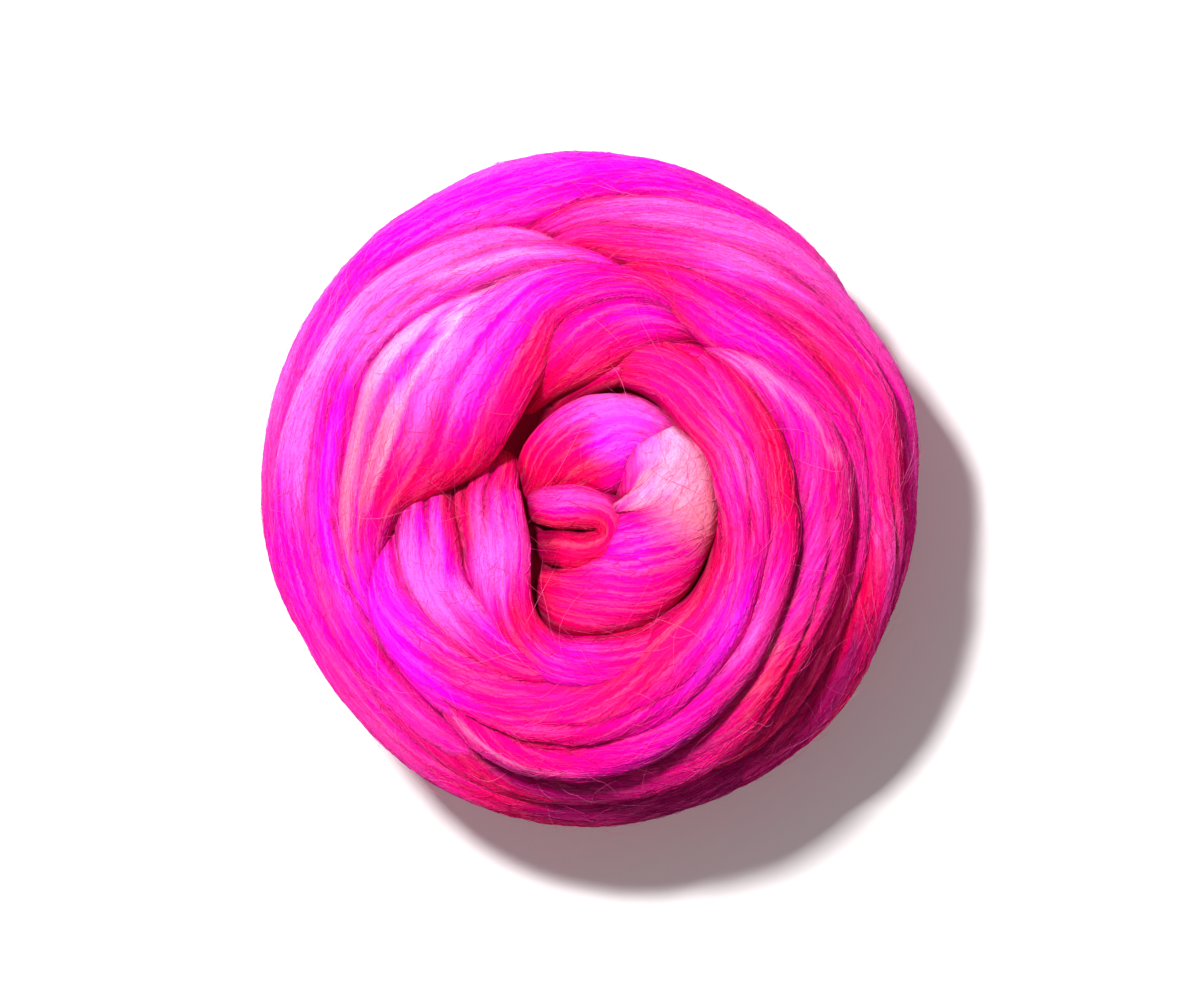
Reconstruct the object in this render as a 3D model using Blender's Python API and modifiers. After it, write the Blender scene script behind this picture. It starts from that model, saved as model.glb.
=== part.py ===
"""A ball of combed wool roving, as it is sold for felting and spinning.

The ball is one continuous length of combed top, a soft band of wool 10 to 40 mm wide, wound
round itself into a flattened ball. It has no core, tie or label. Seen from above, the last
turns lie like the petals of a rose round a small coil, which is where the length begins.

The ball stands on Z = 0, with +X to the right and +Y away from the viewer's feet. The origin is
under the middle of its box, and its winding axis stands beside that, at AXIS_X and AXIS_Y.
Sizes in this file are millimetres and degrees, and become metres when a mesh is made.

Every lap is a soft flattened band laid on the ball's skin. Places on the skin are given as on a
map: "turn" is the angle round a hub, anticlockwise from +X, and "out" is the distance from that
hub, measured over the skin. The ball's own hub is the middle of its crown.
"""

import math
from typing import NamedTuple

import bpy
import numpy as np

MM = 0.001
OBJECT = "wool_roving_ball"
NODE = "roving_ball"

# The skin: a squashed ball, flatter than an ellipsoid
WAIST_RADIUS = 84.6
WAIST_HEIGHT = 46.0
CROWN_RISE = 52.0
BASE_DROP = 48.0
SKIN_POWER = 2.4
SKIN_STEPS = 360
AXIS_X = -1.1
AXIS_Y = 0.9

# The wound mass under the visible laps
MASS_DEPTH = 9.0
HOLLOW_DEPTH = 13.0
HOLLOW_RADIUS = 34.0
MASS_SEGMENTS = 64
MASS_RINGS = 32

# The lofted bands: a firm edge is round, and a soft one thins out over its neighbour
FIRM = 0.5
HALF_FIRM = 0.6
SOFT = 0.8
END_ROUNDING = 0.25
STATION_PITCH = 4.0
BAND_SIDES = 20

# Plain laps where the photo does not reach, each tilted another way than the one before
LAP_REACH = 320.0
LAP_STEP = 20.0
LAP_ADVANCE = 137.5
PLAIN_LIFT = -1.0
TUCKED_LIFT = -8.0
TUCKED_SHARE = 0.6

# The solid made from them
VOXEL = 1.9
TRIANGLES = 10800
TABLE_SLAB = 30.0

WOOL_PINK = (0.93, 0.03, 0.42, 1.0)
WOOL_ROUGHNESS = 0.8


class Outline(NamedTuple):
    """The waist's radius in one direction."""
    turn: float
    radius: float


class Section(NamedTuple):
    """One section of a lap: its place on the skin, its size, and how far its outer side leans up."""
    turn: float
    out: float
    lift: float
    width: float
    thickness: float
    lean: float = 0.0


class Lap(NamedTuple):
    """A visible length of the band, from one tucked end to the other."""
    name: str
    hub: str
    edge: float
    sections: tuple


class PlainRun(NamedTuple):
    """Like laps one after another round a hub: how many, where they run, and their band."""
    name: str
    hub: str
    count: int
    first_out: float
    last_out: float
    tilt: float
    width: float
    thickness: float


OUTLINE = (
    Outline(0, 84.0), Outline(15, 86.0), Outline(30, 84.5), Outline(45, 84.0), Outline(75, 85.0),
    Outline(105, 86.5), Outline(135, 84.0), Outline(165, 82.5), Outline(200, 82.0),
    Outline(225, 82.5), Outline(255, 85.5), Outline(285, 86.0), Outline(315, 87.0),
    Outline(335, 85.5), Outline(360, 84.0),
)

HUBS = {"crown": (0.0, 0.0), "coil": (5.8, -6.1), "hook": (2.0, -9.9), "base": (0.0, 0.0)}

LAPS = (
    # the outermost lap, high behind and low in front
    Lap("rim", "crown", HALF_FIRM, (
        Section(20, 122, -8, 22, 12),
        Section(40, 114, 0, 32, 16),
        Section(61, 106, 0, 38, 18),
        Section(78, 99, 1, 38, 21),
        Section(90, 94, 1, 38, 21),
        Section(104, 89, 1, 38, 21),
        Section(120, 94, 0, 38, 20),
        Section(135, 100, 0, 36, 18),
        Section(155, 100, 0, 36, 18),
        Section(180, 104, 0, 34, 18),
        Section(200, 110, 0, 32, 18),
        Section(220, 118, -3, 28, 16),
        Section(240, 126, -9, 22, 12),
    )),
    # two laps that come out from under the rim and run down the right side
    Lap("shoulder_outer", "crown", SOFT, (
        Section(106, 69, -8, 8, 8),
        Section(92, 71, -1, 12, 12),
        Section(80, 74, 1, 16, 14),
        Section(65, 79, 1, 18, 15),
        Section(50, 86, 1, 20, 16),
        Section(33, 94, 0, 22, 17),
        Section(15, 101, 0, 26, 18),
        Section(-5, 107, 0, 28, 18),
        Section(-25, 112, -1, 28, 18),
        Section(-45, 116, -1, 28, 18),
        Section(-62, 120, -2, 26, 17),
        Section(-80, 124, -8, 22, 12),
    )),
    Lap("shoulder_inner", "crown", SOFT, (
        Section(102, 64, -8, 8, 8),
        Section(90, 64, -1, 12, 12),
        Section(80, 64, 0, 15, 14),
        Section(65, 67.5, 0, 17, 15),
        Section(50, 73, 0, 20, 16),
        Section(33, 80, 0, 22, 17),
        Section(15, 85, 0, 26, 18),
        Section(0, 88.5, -1, 28, 18),
        Section(-15, 94, -1, 28, 18),
        Section(-33, 103, -1, 27, 18),
        Section(-50, 111, -1, 26, 18),
        Section(-65, 115, -1, 26, 17),
        Section(-82, 119, -7, 22, 13),
    )),
    # the low lap between the shoulder and the inner ring
    Lap("valley", "crown", SOFT, (
        Section(90, 57, -8, 8, 8),
        Section(78, 58, -3, 12, 12),
        Section(65, 58, -1, 16, 14),
        Section(50, 58.5, -1, 21, 15),
        Section(35, 63, -2, 22, 16),
        Section(20, 68, -3, 22, 16),
        Section(5, 75, -4, 20, 16),
        Section(-12, 80, -5, 20, 16),
        Section(-28, 83, -7, 23, 16),
        Section(-42, 87, -7, 24, 16),
        Section(-58, 96, -7, 24, 15),
        Section(-75, 104, -9, 18, 12),
    )),
    # the lap that rises at the knot, runs down the right and along the bottom edge
    Lap("ring_outer", "crown", SOFT, (
        Section(52, 48, -9, 7, 8),
        Section(40, 51, -3, 11, 12),
        Section(25, 54.5, 0, 17, 15),
        Section(12, 59, 0, 22, 17),
        Section(0, 63, 0, 27, 18),
        Section(-14, 65, -1, 26, 18),
        Section(-30, 65.5, -1, 23, 17),
        Section(-45, 67.5, -1, 22, 17),
        Section(-62, 77, -2, 26, 17),
        Section(-80, 86, -3, 28, 17),
        Section(-100, 90, -3, 28, 17),
        Section(-120, 87, -3, 28, 17),
        Section(-140, 82, -4, 24, 16),
        Section(-158, 80, -9, 18, 12),
    )),
    # laps of the left side
    Lap("left_outer", "crown", SOFT, (
        Section(92, 62, -8, 8, 8),
        Section(105, 65, -1, 14, 14),
        Section(120, 70, 0, 18, 15),
        Section(137, 76.5, 0, 20, 16),
        Section(155, 80, 0, 22, 16),
        Section(172, 85, 0, 26, 17),
        Section(190, 89, 0, 28, 18),
        Section(207, 93, 0, 30, 18),
        Section(222, 97, 0, 32, 18),
        Section(240, 102, 0, 32, 18),
        Section(260, 106, 0, 32, 18),
        Section(280, 110, 0, 30, 18),
        Section(300, 115, -1, 28, 18),
        Section(318, 121, -6, 24, 14),
    )),
    Lap("left_inner", "crown", SOFT, (
        Section(72, 54, -9, 8, 8),
        Section(86, 57, -2, 12, 13),
        Section(104, 59.5, 0, 15, 15),
        Section(120, 62.5, 0, 18, 16),
        Section(137, 68, 0, 20, 16),
        Section(155, 71, 0, 20, 16),
        Section(172, 71, -1, 22, 16),
        Section(190, 73, -1, 22, 16),
        Section(207, 76, -1, 22, 16),
        Section(225, 80, -2, 22, 16),
        Section(245, 84, -4, 20, 15),
        Section(262, 86, -9, 16, 12),
    )),
    # the inner ring: a narrow outer lap and a wide one that fans out on the left
    Lap("ring_edge", "crown", HALF_FIRM, (
        Section(62, 45, -13, 7, 8),
        Section(48, 44.5, -6, 11, 12),
        Section(32, 44, -1, 13, 14),
        Section(16, 45, 1, 13, 15),
        Section(0, 47.5, 1, 14, 16),
        Section(-18, 50, 1, 14, 16),
        Section(-35, 53, 1, 14, 16),
        Section(-52, 58, 1, 15, 16),
        Section(-68, 63.5, 1, 16, 16),
        Section(-82, 68, 1, 18, 16),
        Section(-97, 71, 1, 18, 16),
        Section(-110, 69, 1, 18, 16),
        Section(-125, 63, 0, 16, 15),
        Section(-140, 61, -3, 14, 14),
        Section(-155, 58, -9, 12, 12),
    )),
    Lap("ring_fan", "crown", HALF_FIRM, (
        Section(184, 54, -12, 10, 10),
        Section(196, 57, -5, 15, 14),
        Section(210, 60.5, -1, 19, 16),
        Section(225, 60.5, 1, 23, 17),
        Section(240, 60, 2, 25, 18),
        Section(255, 59, 2, 27, 19),
        Section(270, 57, 2, 28, 20),
        Section(285, 53, 2, 27, 20),
        Section(300, 48.5, 2, 25, 19),
        Section(315, 46, 2, 20, 18),
        Section(330, 44, 1, 17.5, 17),
        Section(345, 42, 1, 17.5, 17),
        Section(360, 39.5, 1, 18, 16),
        Section(376, 37.5, 0, 17, 16),
        Section(392, 36, -1, 18, 15),
        Section(408, 36.5, -2, 17, 14),
        Section(426, 35.5, -4, 16, 13),
        Section(444, 33, -9, 13, 12),
        Section(460, 31, -16, 10, 10),
    )),
    # the two leaves left of the coil, which run on round its foot
    Lap("leaf_outer", "crown", FIRM, (
        Section(160, 40, -14, 12, 10),
        Section(172, 42, -7, 14, 13),
        Section(184, 43, -4, 16, 14),
        Section(198, 44.5, -2, 19, 15),
        Section(212, 46.5, -1, 18, 15),
        Section(226, 46.5, 0, 16, 15),
        Section(242, 46.5, 0, 15, 14),
        Section(258, 45, -1, 14, 14),
        Section(274, 43, -4, 12, 12),
        Section(288, 41, -9, 10, 10),
    )),
    Lap("leaf_inner", "coil", FIRM, (
        Section(148, 37, -18, 12, 10),
        Section(158, 34.5, -11, 17, 13),
        Section(170, 34, -7, 21, 15, -6),
        Section(182, 32.3, -5, 21.5, 16, -10),
        Section(196, 31.3, -4, 20.5, 16, -10),
        Section(210, 33.7, -3, 19.5, 16, -8),
        Section(223, 36.8, -2, 17, 15, -4),
        Section(236, 39, -1, 15, 14),
        Section(250, 39.5, 0, 14, 14),
        Section(266, 38, 0, 15, 14),
        Section(285, 36, -1, 14, 14),
        Section(305, 34.5, -4, 13, 13),
        Section(325, 33.5, -8, 12, 12),
        Section(345, 33, -10, 10, 11),
        Section(368, 32.5, -10, 10, 11),
        Section(390, 32, -10, 10, 11),
        Section(412, 31.5, -10, 11, 11),
        Section(434, 32, -13, 10, 10),
        Section(452, 32, -18, 9, 9),
    )),
    # the laps that come over the top of the coil from the right
    Lap("brow_low", "coil", FIRM, (
        Section(52, 50.5, -10, 7, 7),
        Section(62, 46, -6, 8, 9),
        Section(74, 41, -6, 9, 10),
        Section(88, 37, -7, 10, 10),
        Section(104, 33.5, -11, 9, 9),
        Section(120, 31, -17, 8, 8),
    )),
    Lap("brow", "coil", HALF_FIRM, (
        Section(56, 52.5, -14, 8, 8),
        Section(66, 51.5, -8, 13, 12),
        Section(77, 49.5, -3, 18, 16),
        Section(89, 47, -1, 22, 18),
        Section(102, 43.5, -1, 22, 18),
        Section(115, 41, -4, 19, 16),
        Section(128, 39, -12, 14, 12),
        Section(140, 38, -20, 10, 9),
    )),
    # the broad lobe on the upper left, which lies over the leaves
    Lap("lobe", "crown", FIRM, (
        Section(58, 53.5, -8, 6, 8),
        Section(73, 53, -1, 9, 12),
        Section(88, 50.5, 1, 14, 15),
        Section(103, 47.5, 2, 20, 18),
        Section(117, 43.5, 3, 30, 21),
        Section(131, 43, 4, 38, 23),
        Section(145, 44.5, 4, 43, 24),
        Section(158, 46.5, 4, 42, 23),
        Section(170, 50.5, 3, 33, 21),
        Section(182, 56.5, 2, 21, 18),
        Section(194, 62, 0, 14, 15),
        Section(208, 67, -3, 10, 12),
        Section(222, 70, -9, 8, 10),
    )),
    # the coil: its back, the bulge that turns over it, and the hook where the length begins
    Lap("coil_back", "coil", FIRM, (
        Section(196, 25, -26, 10, 10),
        Section(178, 22.5, -20, 14, 12),
        Section(160, 19, -13, 17, 13),
        Section(140, 18.5, -7, 20, 15),
        Section(118, 18.5, -3, 21, 17),
        Section(96, 19, 0, 22, 18),
        Section(74, 20, 0, 21, 18),
        Section(52, 18.5, -2, 20, 17),
        Section(32, 16.5, -7, 17, 15),
        Section(12, 14.5, -13, 12, 12),
    )),
    Lap("coil_bulge", "coil", FIRM, (
        Section(114, 11, -10, 13, 13),
        Section(94, 11.5, -4, 18, 16),
        Section(70, 14, -1, 23, 19),
        Section(48, 15, 1, 27, 20),
        Section(26, 14.5, 2, 28.5, 22),
        Section(4, 14.5, 2, 29, 22),
        Section(-20, 14.5, 1, 29, 21),
        Section(-45, 15.5, 0, 27, 20),
        Section(-70, 18, -1, 24, 19),
        Section(-90, 20.5, -2, 22.5, 18),
        Section(-106, 23.5, -3, 20, 17),
        Section(-117, 26, -5, 18, 16),
        Section(-125, 28, -9, 16, 15),
        Section(-131, 30.5, -16, 13, 12),
        Section(-136, 33, -24, 10, 9),
    )),
    Lap("hook", "hook", FIRM, (
        Section(161.7, 21.1, -20, 9, 8),
        Section(157.5, 15.2, -11, 11, 10),
        Section(144.2, 9.2, -5, 11.5, 11),
        Section(100.7, 5.4, -4, 11.5, 11),
        Section(30, 5, -4, 10.5, 11),
        Section(-26, 5, -5, 10.5, 11),
        Section(-90, 5.3, -6, 10.5, 11),
        Section(-139.8, 8.5, -7, 10.5, 11),
        Section(-155, 13.8, -13, 9, 9),
        Section(-161.5, 19.5, -21, 8, 8),
    )),
    # a low lap under the rim at the back
    Lap("rim_low", "crown", SOFT, (
        Section(34, 121, -9, 14, 10),
        Section(52, 117, -5, 18, 14),
        Section(76, 113, -4, 21, 15),
        Section(104, 111, -4, 22, 15),
        Section(130, 113, -4, 21, 15),
        Section(156, 118, -5, 18, 14),
        Section(176, 122, -9, 14, 10),
    )),
)

PLAIN_RUNS = (
    PlainRun("side", "crown", 6, 124.0, 166.0, 8.0, 30.0, 18.0),
    PlainRun("under", "base", 4, 50.0, 14.0, 5.0, 27.0, 16.0),
)


def smooth_rows(rows, count):
    """Values on a smooth curve through the rows, at even steps along it."""
    rows = np.array(rows, dtype=float)
    before = 2.0 * rows[0] - rows[1]
    after = 2.0 * rows[-1] - rows[-2]
    held = np.vstack([before, rows, after])
    pieces = np.linspace(0.0, len(rows) - 1.0, count)
    start = np.minimum(pieces.astype(int), len(rows) - 2)
    t = (pieces - start)[:, None]
    a, b, c, d = held[start], held[start + 1], held[start + 2], held[start + 3]
    return 0.5 * (2.0 * b + (c - a) * t + (2.0 * a - 5.0 * b + 4.0 * c - d) * t ** 2
                  + (3.0 * b - a - 3.0 * c + d) * t ** 3)


def meridian():
    """The skin's profile from crown to base: distance over the skin, radius, height, normal."""
    angle = np.radians(np.linspace(90.0, -90.0, SKIN_STEPS + 1))
    power = 2.0 / SKIN_POWER
    radius = WAIST_RADIUS * np.abs(np.cos(angle)) ** power
    rise = np.sign(np.sin(angle)) * np.abs(np.sin(angle)) ** power
    height = WAIST_HEIGHT + rise * np.where(rise > 0.0, CROWN_RISE, BASE_DROP)
    steps = np.hypot(np.diff(radius), np.diff(height))
    out = np.concatenate([[0.0], np.cumsum(steps)])
    run, drop = np.gradient(radius, out), np.gradient(height, out)
    return out, radius, height, -drop, run


MERIDIAN = meridian()
FULL_REACH = MERIDIAN[0][-1]


def skin_points(east, north, height):
    """Points in space for places on the map (mm from the crown) and heights above the skin."""
    out, radius, level, normal_out, normal_up = MERIDIAN
    reach = np.maximum(np.hypot(east, north), 1e-6)
    turn = np.degrees(np.arctan2(north, east)) % 360.0
    outline = np.interp(turn, [o.turn for o in OUTLINE], [o.radius for o in OUTLINE])
    ring = np.interp(reach, out, radius) * outline / WAIST_RADIUS
    ring = ring + np.interp(reach, out, normal_out) * height
    up = np.interp(reach, out, level) + np.interp(reach, out, normal_up) * height
    return np.stack([AXIS_X + ring * east / reach, AXIS_Y + ring * north / reach, up], axis=-1)


def lap_stations(lap, pitch):
    """Even stations along a lap: map place, unit vector across it, and the section's values."""
    hub_east, hub_north = HUBS[lap.hub]
    fine = smooth_rows(lap.sections, 40 * len(lap.sections))
    angle = np.radians(fine[:, 0])
    east = hub_east + fine[:, 1] * np.cos(angle)
    north = hub_north + fine[:, 1] * np.sin(angle)
    along = np.concatenate([[0.0], np.cumsum(np.hypot(np.diff(east), np.diff(north)))])
    count = max(8, int(along[-1] / pitch) + 1)
    even = np.linspace(0.0, along[-1], count)
    values = np.stack([np.interp(even, along, column)
                       for column in (east, north, *fine[:, 2:].T)], axis=-1)
    ahead = np.gradient(values[:, :2], axis=0)
    ahead /= np.linalg.norm(ahead, axis=1)[:, None]
    hand = 1.0 if lap.sections[-1].turn > lap.sections[0].turn else -1.0
    across = np.stack([ahead[:, 1], -ahead[:, 0]], axis=-1) * hand
    return values, across, hand


def on_crown_map(hub, east, north):
    """Places on a hub's own map as places on the crown's map; the base's map is its mirror."""
    if hub != "base":
        return east, north
    reach = np.maximum(np.hypot(east, north), 1e-6)
    return east * (FULL_REACH / reach - 1.0), north * (FULL_REACH / reach - 1.0)


def lap_rings(lap, pitch, sides):
    """The lap's surface as rings of points, one ring for each station, ends rounded."""
    values, across, hand = lap_stations(lap, pitch)
    east, north, lift, width, thickness, lean = values.T
    ends = np.linspace(0.0, 1.0, len(values))
    nearest_end = np.minimum(ends, 1.0 - ends) * len(values) * pitch
    rounding = np.sqrt(np.clip(nearest_end / (END_ROUNDING * width), 0.02, 1.0))
    angle = np.linspace(0.0, 2.0 * math.pi, sides, endpoint=False)
    side = np.cos(angle)
    rise = np.sign(np.sin(angle)) * np.abs(np.sin(angle)) ** (2.0 * lap.edge)
    offset = 0.5 * (width * rounding)[:, None] * side[None, :]
    height = (lift - 0.5 * thickness)[:, None] \
        + 0.5 * (thickness * rounding)[:, None] * rise[None, :] \
        + offset * np.tan(np.radians(lean))[:, None]
    places = on_crown_map(lap.hub, east[:, None] + offset * across[:, 0:1],
                          north[:, None] + offset * across[:, 1:2])
    return skin_points(*places, height), -hand if lap.hub == "base" else hand


def lap_mesh(lap, pitch, sides):
    """A closed mesh lofted through the lap's rings, in millimetres."""
    rings, hand = lap_rings(lap, pitch, sides)
    count = len(rings)
    points = np.vstack([rings.reshape(-1, 3), rings[0].mean(axis=0), rings[-1].mean(axis=0)])
    faces = []
    for ring in range(count - 1):
        for side in range(sides):
            after = (side + 1) % sides
            faces.append((ring * sides + side, ring * sides + after,
                          (ring + 1) * sides + after, (ring + 1) * sides + side))
    first, last = count * sides, count * sides + 1
    base = (count - 1) * sides
    for side in range(sides):
        after = (side + 1) % sides
        faces.append((first, after, side))
        faces.append((last, base + side, base + after))
    if hand > 0.0:
        faces = [face[::-1] for face in faces]
    return points, faces


def plain_section(run, turn, out, tucked):
    """A section of a plain lap, sunk and thinned where the lap's end is tucked in."""
    if tucked:
        return Section(turn, out, TUCKED_LIFT, TUCKED_SHARE * run.width, TUCKED_SHARE * run.thickness)
    return Section(turn, out, PLAIN_LIFT, run.width, run.thickness)


def plain_laps():
    """The laps round the lower side and across the underside."""
    laps = []
    steps = int(LAP_REACH / LAP_STEP)
    for run in PLAIN_RUNS:
        for index in range(run.count):
            share = index / (run.count - 1.0)
            middle = run.first_out + share * (run.last_out - run.first_out)
            start = index * LAP_ADVANCE
            sections = []
            for step in range(steps + 1):
                turn = start + step * LAP_STEP
                out = middle + run.tilt * math.sin(math.radians(turn + start))
                sections.append(plain_section(run, turn, out, step in (0, steps)))
            laps.append(Lap(f"{run.name}_{index + 1}", run.hub, SOFT, tuple(sections)))
    return laps


def add_mesh_object(name, points, faces, collection):
    """A mesh object made from points in millimetres."""
    mesh = bpy.data.meshes.new(name)
    mesh.from_pydata((np.asarray(points) * MM).tolist(), [], faces)
    mesh.update()
    thing = bpy.data.objects.new(name, mesh)
    collection.objects.link(thing)
    return thing


def add_inner_mass(collection):
    """The wound mass that fills the ball, sunk below the skin, more so round the coil."""
    bpy.ops.mesh.primitive_uv_sphere_add(
        segments=MASS_SEGMENTS, ring_count=MASS_RINGS, radius=WAIST_RADIUS * MM)
    mass = bpy.context.object
    mass.name = "inner_mass"
    for owner in list(mass.users_collection):
        owner.objects.unlink(mass)
    collection.objects.link(mass)
    for vertex in mass.data.vertices:
        direction = vertex.co.normalized()
        out = math.acos(max(-1.0, min(1.0, direction.z))) / math.pi * FULL_REACH
        angle = math.atan2(direction.y, direction.x)
        east, north = out * math.cos(angle), out * math.sin(angle)
        depth = MASS_DEPTH + HOLLOW_DEPTH * math.exp(-(out / HOLLOW_RADIUS) ** 2)
        depth *= min(1.0, 2.0 * (1.0 - out / FULL_REACH))
        vertex.co = skin_points(np.array(east), np.array(north), -depth) * MM
    return mass


def wool_material():
    """The solid's plain colour: the pink of the wool."""
    material = bpy.data.materials.new("dyed_wool")
    material.use_nodes = True
    shader = material.node_tree.nodes["Principled BSDF"]
    shader.inputs["Base Color"].default_value = WOOL_PINK
    shader.inputs["Roughness"].default_value = WOOL_ROUGHNESS
    shader.inputs["Metallic"].default_value = 0.0
    return material


def add_table_cutter(collection):
    """The slab below Z = 0 that presses the ball's resting face flat."""
    bpy.ops.mesh.primitive_cube_add(size=1.0, location=(0.0, 0.0, -0.5 * TABLE_SLAB * MM))
    cutter = bpy.context.object
    cutter.name = "table_below"
    cutter.scale = (4.0 * WAIST_RADIUS * MM, 4.0 * WAIST_RADIUS * MM, TABLE_SLAB * MM)
    bpy.ops.object.transform_apply(location=False, rotation=False, scale=True)
    for owner in list(cutter.users_collection):
        owner.objects.unlink(cutter)
    collection.objects.link(cutter)
    cutter.hide_render = True
    cutter.display_type = "WIRE"
    return cutter


def fuse(pieces, name):
    """All the bands and the inner mass as one skin, thinned to the solid's triangle budget."""
    bpy.ops.object.select_all(action="DESELECT")
    for piece in pieces:
        piece.select_set(True)
    bpy.context.view_layer.objects.active = pieces[0]
    bpy.ops.object.join()
    ball = bpy.context.object
    ball.name = name
    ball.data.name = name
    fused = ball.modifiers.new("fused", "REMESH")
    fused.mode = "VOXEL"
    fused.voxel_size = VOXEL * MM
    bpy.ops.object.modifier_apply(modifier=fused.name)
    quads = len(ball.data.polygons)
    thinned = ball.modifiers.new("thinned", "DECIMATE")
    thinned.ratio = TRIANGLES / (2.0 * quads)
    bpy.ops.object.modifier_apply(modifier=thinned.name)
    return ball


def build():
    """The whole ball, one solid."""
    for thing in list(bpy.data.objects):
        bpy.data.objects.remove(thing, do_unlink=True)
    parts = bpy.data.collections.new(OBJECT)
    cutters = bpy.data.collections.new("cutters")
    bpy.context.scene.collection.children.link(parts)
    bpy.context.scene.collection.children.link(cutters)
    pieces = [add_inner_mass(parts)]
    for lap in (*LAPS, *plain_laps()):
        points, faces = lap_mesh(lap, STATION_PITCH, BAND_SIDES)
        pieces.append(add_mesh_object(lap.name, points, faces, parts))
    ball = fuse(pieces, NODE)
    flattened = ball.modifiers.new("flattened", "BOOLEAN")
    flattened.operation = "DIFFERENCE"
    flattened.object = add_table_cutter(cutters)
    ball.data.shade_smooth()
    ball.data.materials.append(wool_material())
    return ball


build()
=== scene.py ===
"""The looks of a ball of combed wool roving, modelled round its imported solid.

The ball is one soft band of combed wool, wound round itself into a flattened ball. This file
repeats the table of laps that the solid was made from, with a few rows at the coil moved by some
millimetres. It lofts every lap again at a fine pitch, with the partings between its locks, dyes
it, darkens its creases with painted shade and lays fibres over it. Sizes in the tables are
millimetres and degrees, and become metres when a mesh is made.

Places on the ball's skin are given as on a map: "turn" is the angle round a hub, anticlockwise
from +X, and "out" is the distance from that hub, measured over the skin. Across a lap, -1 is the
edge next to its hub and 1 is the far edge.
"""

import math
from functools import lru_cache
from typing import NamedTuple

import bpy
import numpy as np
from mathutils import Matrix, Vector
from mathutils.bvhtree import BVHTree


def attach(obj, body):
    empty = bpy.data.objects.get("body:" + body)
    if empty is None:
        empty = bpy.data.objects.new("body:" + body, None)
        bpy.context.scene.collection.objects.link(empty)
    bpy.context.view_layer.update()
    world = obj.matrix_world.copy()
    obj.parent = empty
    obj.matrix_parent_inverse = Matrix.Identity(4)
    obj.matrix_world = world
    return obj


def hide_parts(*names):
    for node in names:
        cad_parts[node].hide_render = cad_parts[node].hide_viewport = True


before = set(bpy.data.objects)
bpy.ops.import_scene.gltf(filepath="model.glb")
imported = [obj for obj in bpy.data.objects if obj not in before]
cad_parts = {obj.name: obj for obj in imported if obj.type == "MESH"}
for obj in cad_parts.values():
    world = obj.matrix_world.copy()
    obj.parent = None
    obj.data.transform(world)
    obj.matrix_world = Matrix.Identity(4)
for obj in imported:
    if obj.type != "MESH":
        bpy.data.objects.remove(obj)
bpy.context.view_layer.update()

bl_info = {
    "name": "Ball of wool roving",
    "version": (1, 0, 0),
    "blender": (4, 5, 0),
    "location": "View3D > Sidebar > Roving",
    "description": "Makes a ball of dyed wool roving: its laps, its fibres and its stage",
    "category": "Object",
}

MM = 0.001
FULL_TURN = 2.0 * math.pi
NODE = "roving_ball"
BODY = "root"

# Below these a length counts as none: on the map, in a lap's grid and along a fibre
NO_REACH = 1e-6
NO_STEP = 1e-9
NO_FIBRE_STEP = 1e-12

# Points of a mesh nearer than this, in metres, become one
WELD = 1e-6

# The skin: a squashed ball, flatter than an ellipsoid
WAIST_RADIUS = 84.6
WAIST_HEIGHT = 46.0
CROWN_RISE = 52.0
BASE_DROP = 48.0
SKIN_POWER = 2.4
SKIN_STEPS = 360
AXIS_X = -1.1
AXIS_Y = 0.9

# The wound mass under the visible laps: deeper under the coil, and up to the skin at its foot
MASS_DEPTH = 9.0
MASS_TAPER = 2.0
HOLLOW_DEPTH = 13.0
HOLLOW_RADIUS = 34.0
MASS_SEGMENTS = 64
MASS_RINGS = 32

# The lofted bands: a firm edge is round, and a soft one thins out over its neighbour
FIRM = 0.5
HALF_FIRM = 0.6
SOFT = 0.8
END_ROUNDING = 0.25

# Plain laps where the photo does not reach, each tilted another way than the one before
LAP_REACH = 320.0
LAP_STEP = 20.0
LAP_ADVANCE = 137.5
PLAIN_LIFT = -1.0
TUCKED_LIFT = -8.0
TUCKED_SHARE = 0.6

# How finely the laps are lofted; their sides stand closer on the crest than underneath, and
# each lap stays a little higher over the table than the one before
CURVE_STEPS = 40
FEWEST_STATIONS = 8
LAP_PITCH = 1.7
LAP_SIDES = 54
PLAIN_PITCH = 4.5
PLAIN_SIDES = 40
CROWDING = 0.55
TABLE_GAP = 0.02

# The wool's lay: locks lie side by side with partings between them, and each lap begins at
# another place of their pattern
NOISE_CELLS = 64
LOCK_RUN = 75.0
LOCK_WIDTH = 6.5
LOCK_SEED = 1
STRAND_RUN = 40.0
STRAND_WIDTH = 1.6
STRAND_SEED = 2
PARTING_REACH = 0.6
FULL_DEPTH_WIDTH = 24.0
LAP_SHIFT = 1130.0

# Dye: how far its shades wander along and across a lap
EDGE_SHADE = 0.8
DRIFT = 0.35
DRIFT_RUN = 55.0
DRIFT_WIDTH = 5.0
DRIFT_SEED = 3
FINE_DRIFT = 0.35
FINE_RUN = 35.0
FINE_WIDTH = 1.5
FINE_SEED = 4
TURN_DRIFT = 7.0
TURN_SEED = 5
STREAK_DRIFT = 0.5
END_BLEND = 50.0
END_SHARE = 0.85

# Painted crease shade: rays lean off each point's normal, and those that are caught early darken
# its colour
SHELTER_START = 0.6
SHELTER_REACH = 9.0
SHELTER_LEAN = 50.0
SHELTER_RAYS = 6
SHELTER_FULL = 0.6
PAINTED_SHADE_SHARE = 0.9
ASKEW = (0.31, 0.17, 0.93)

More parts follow.
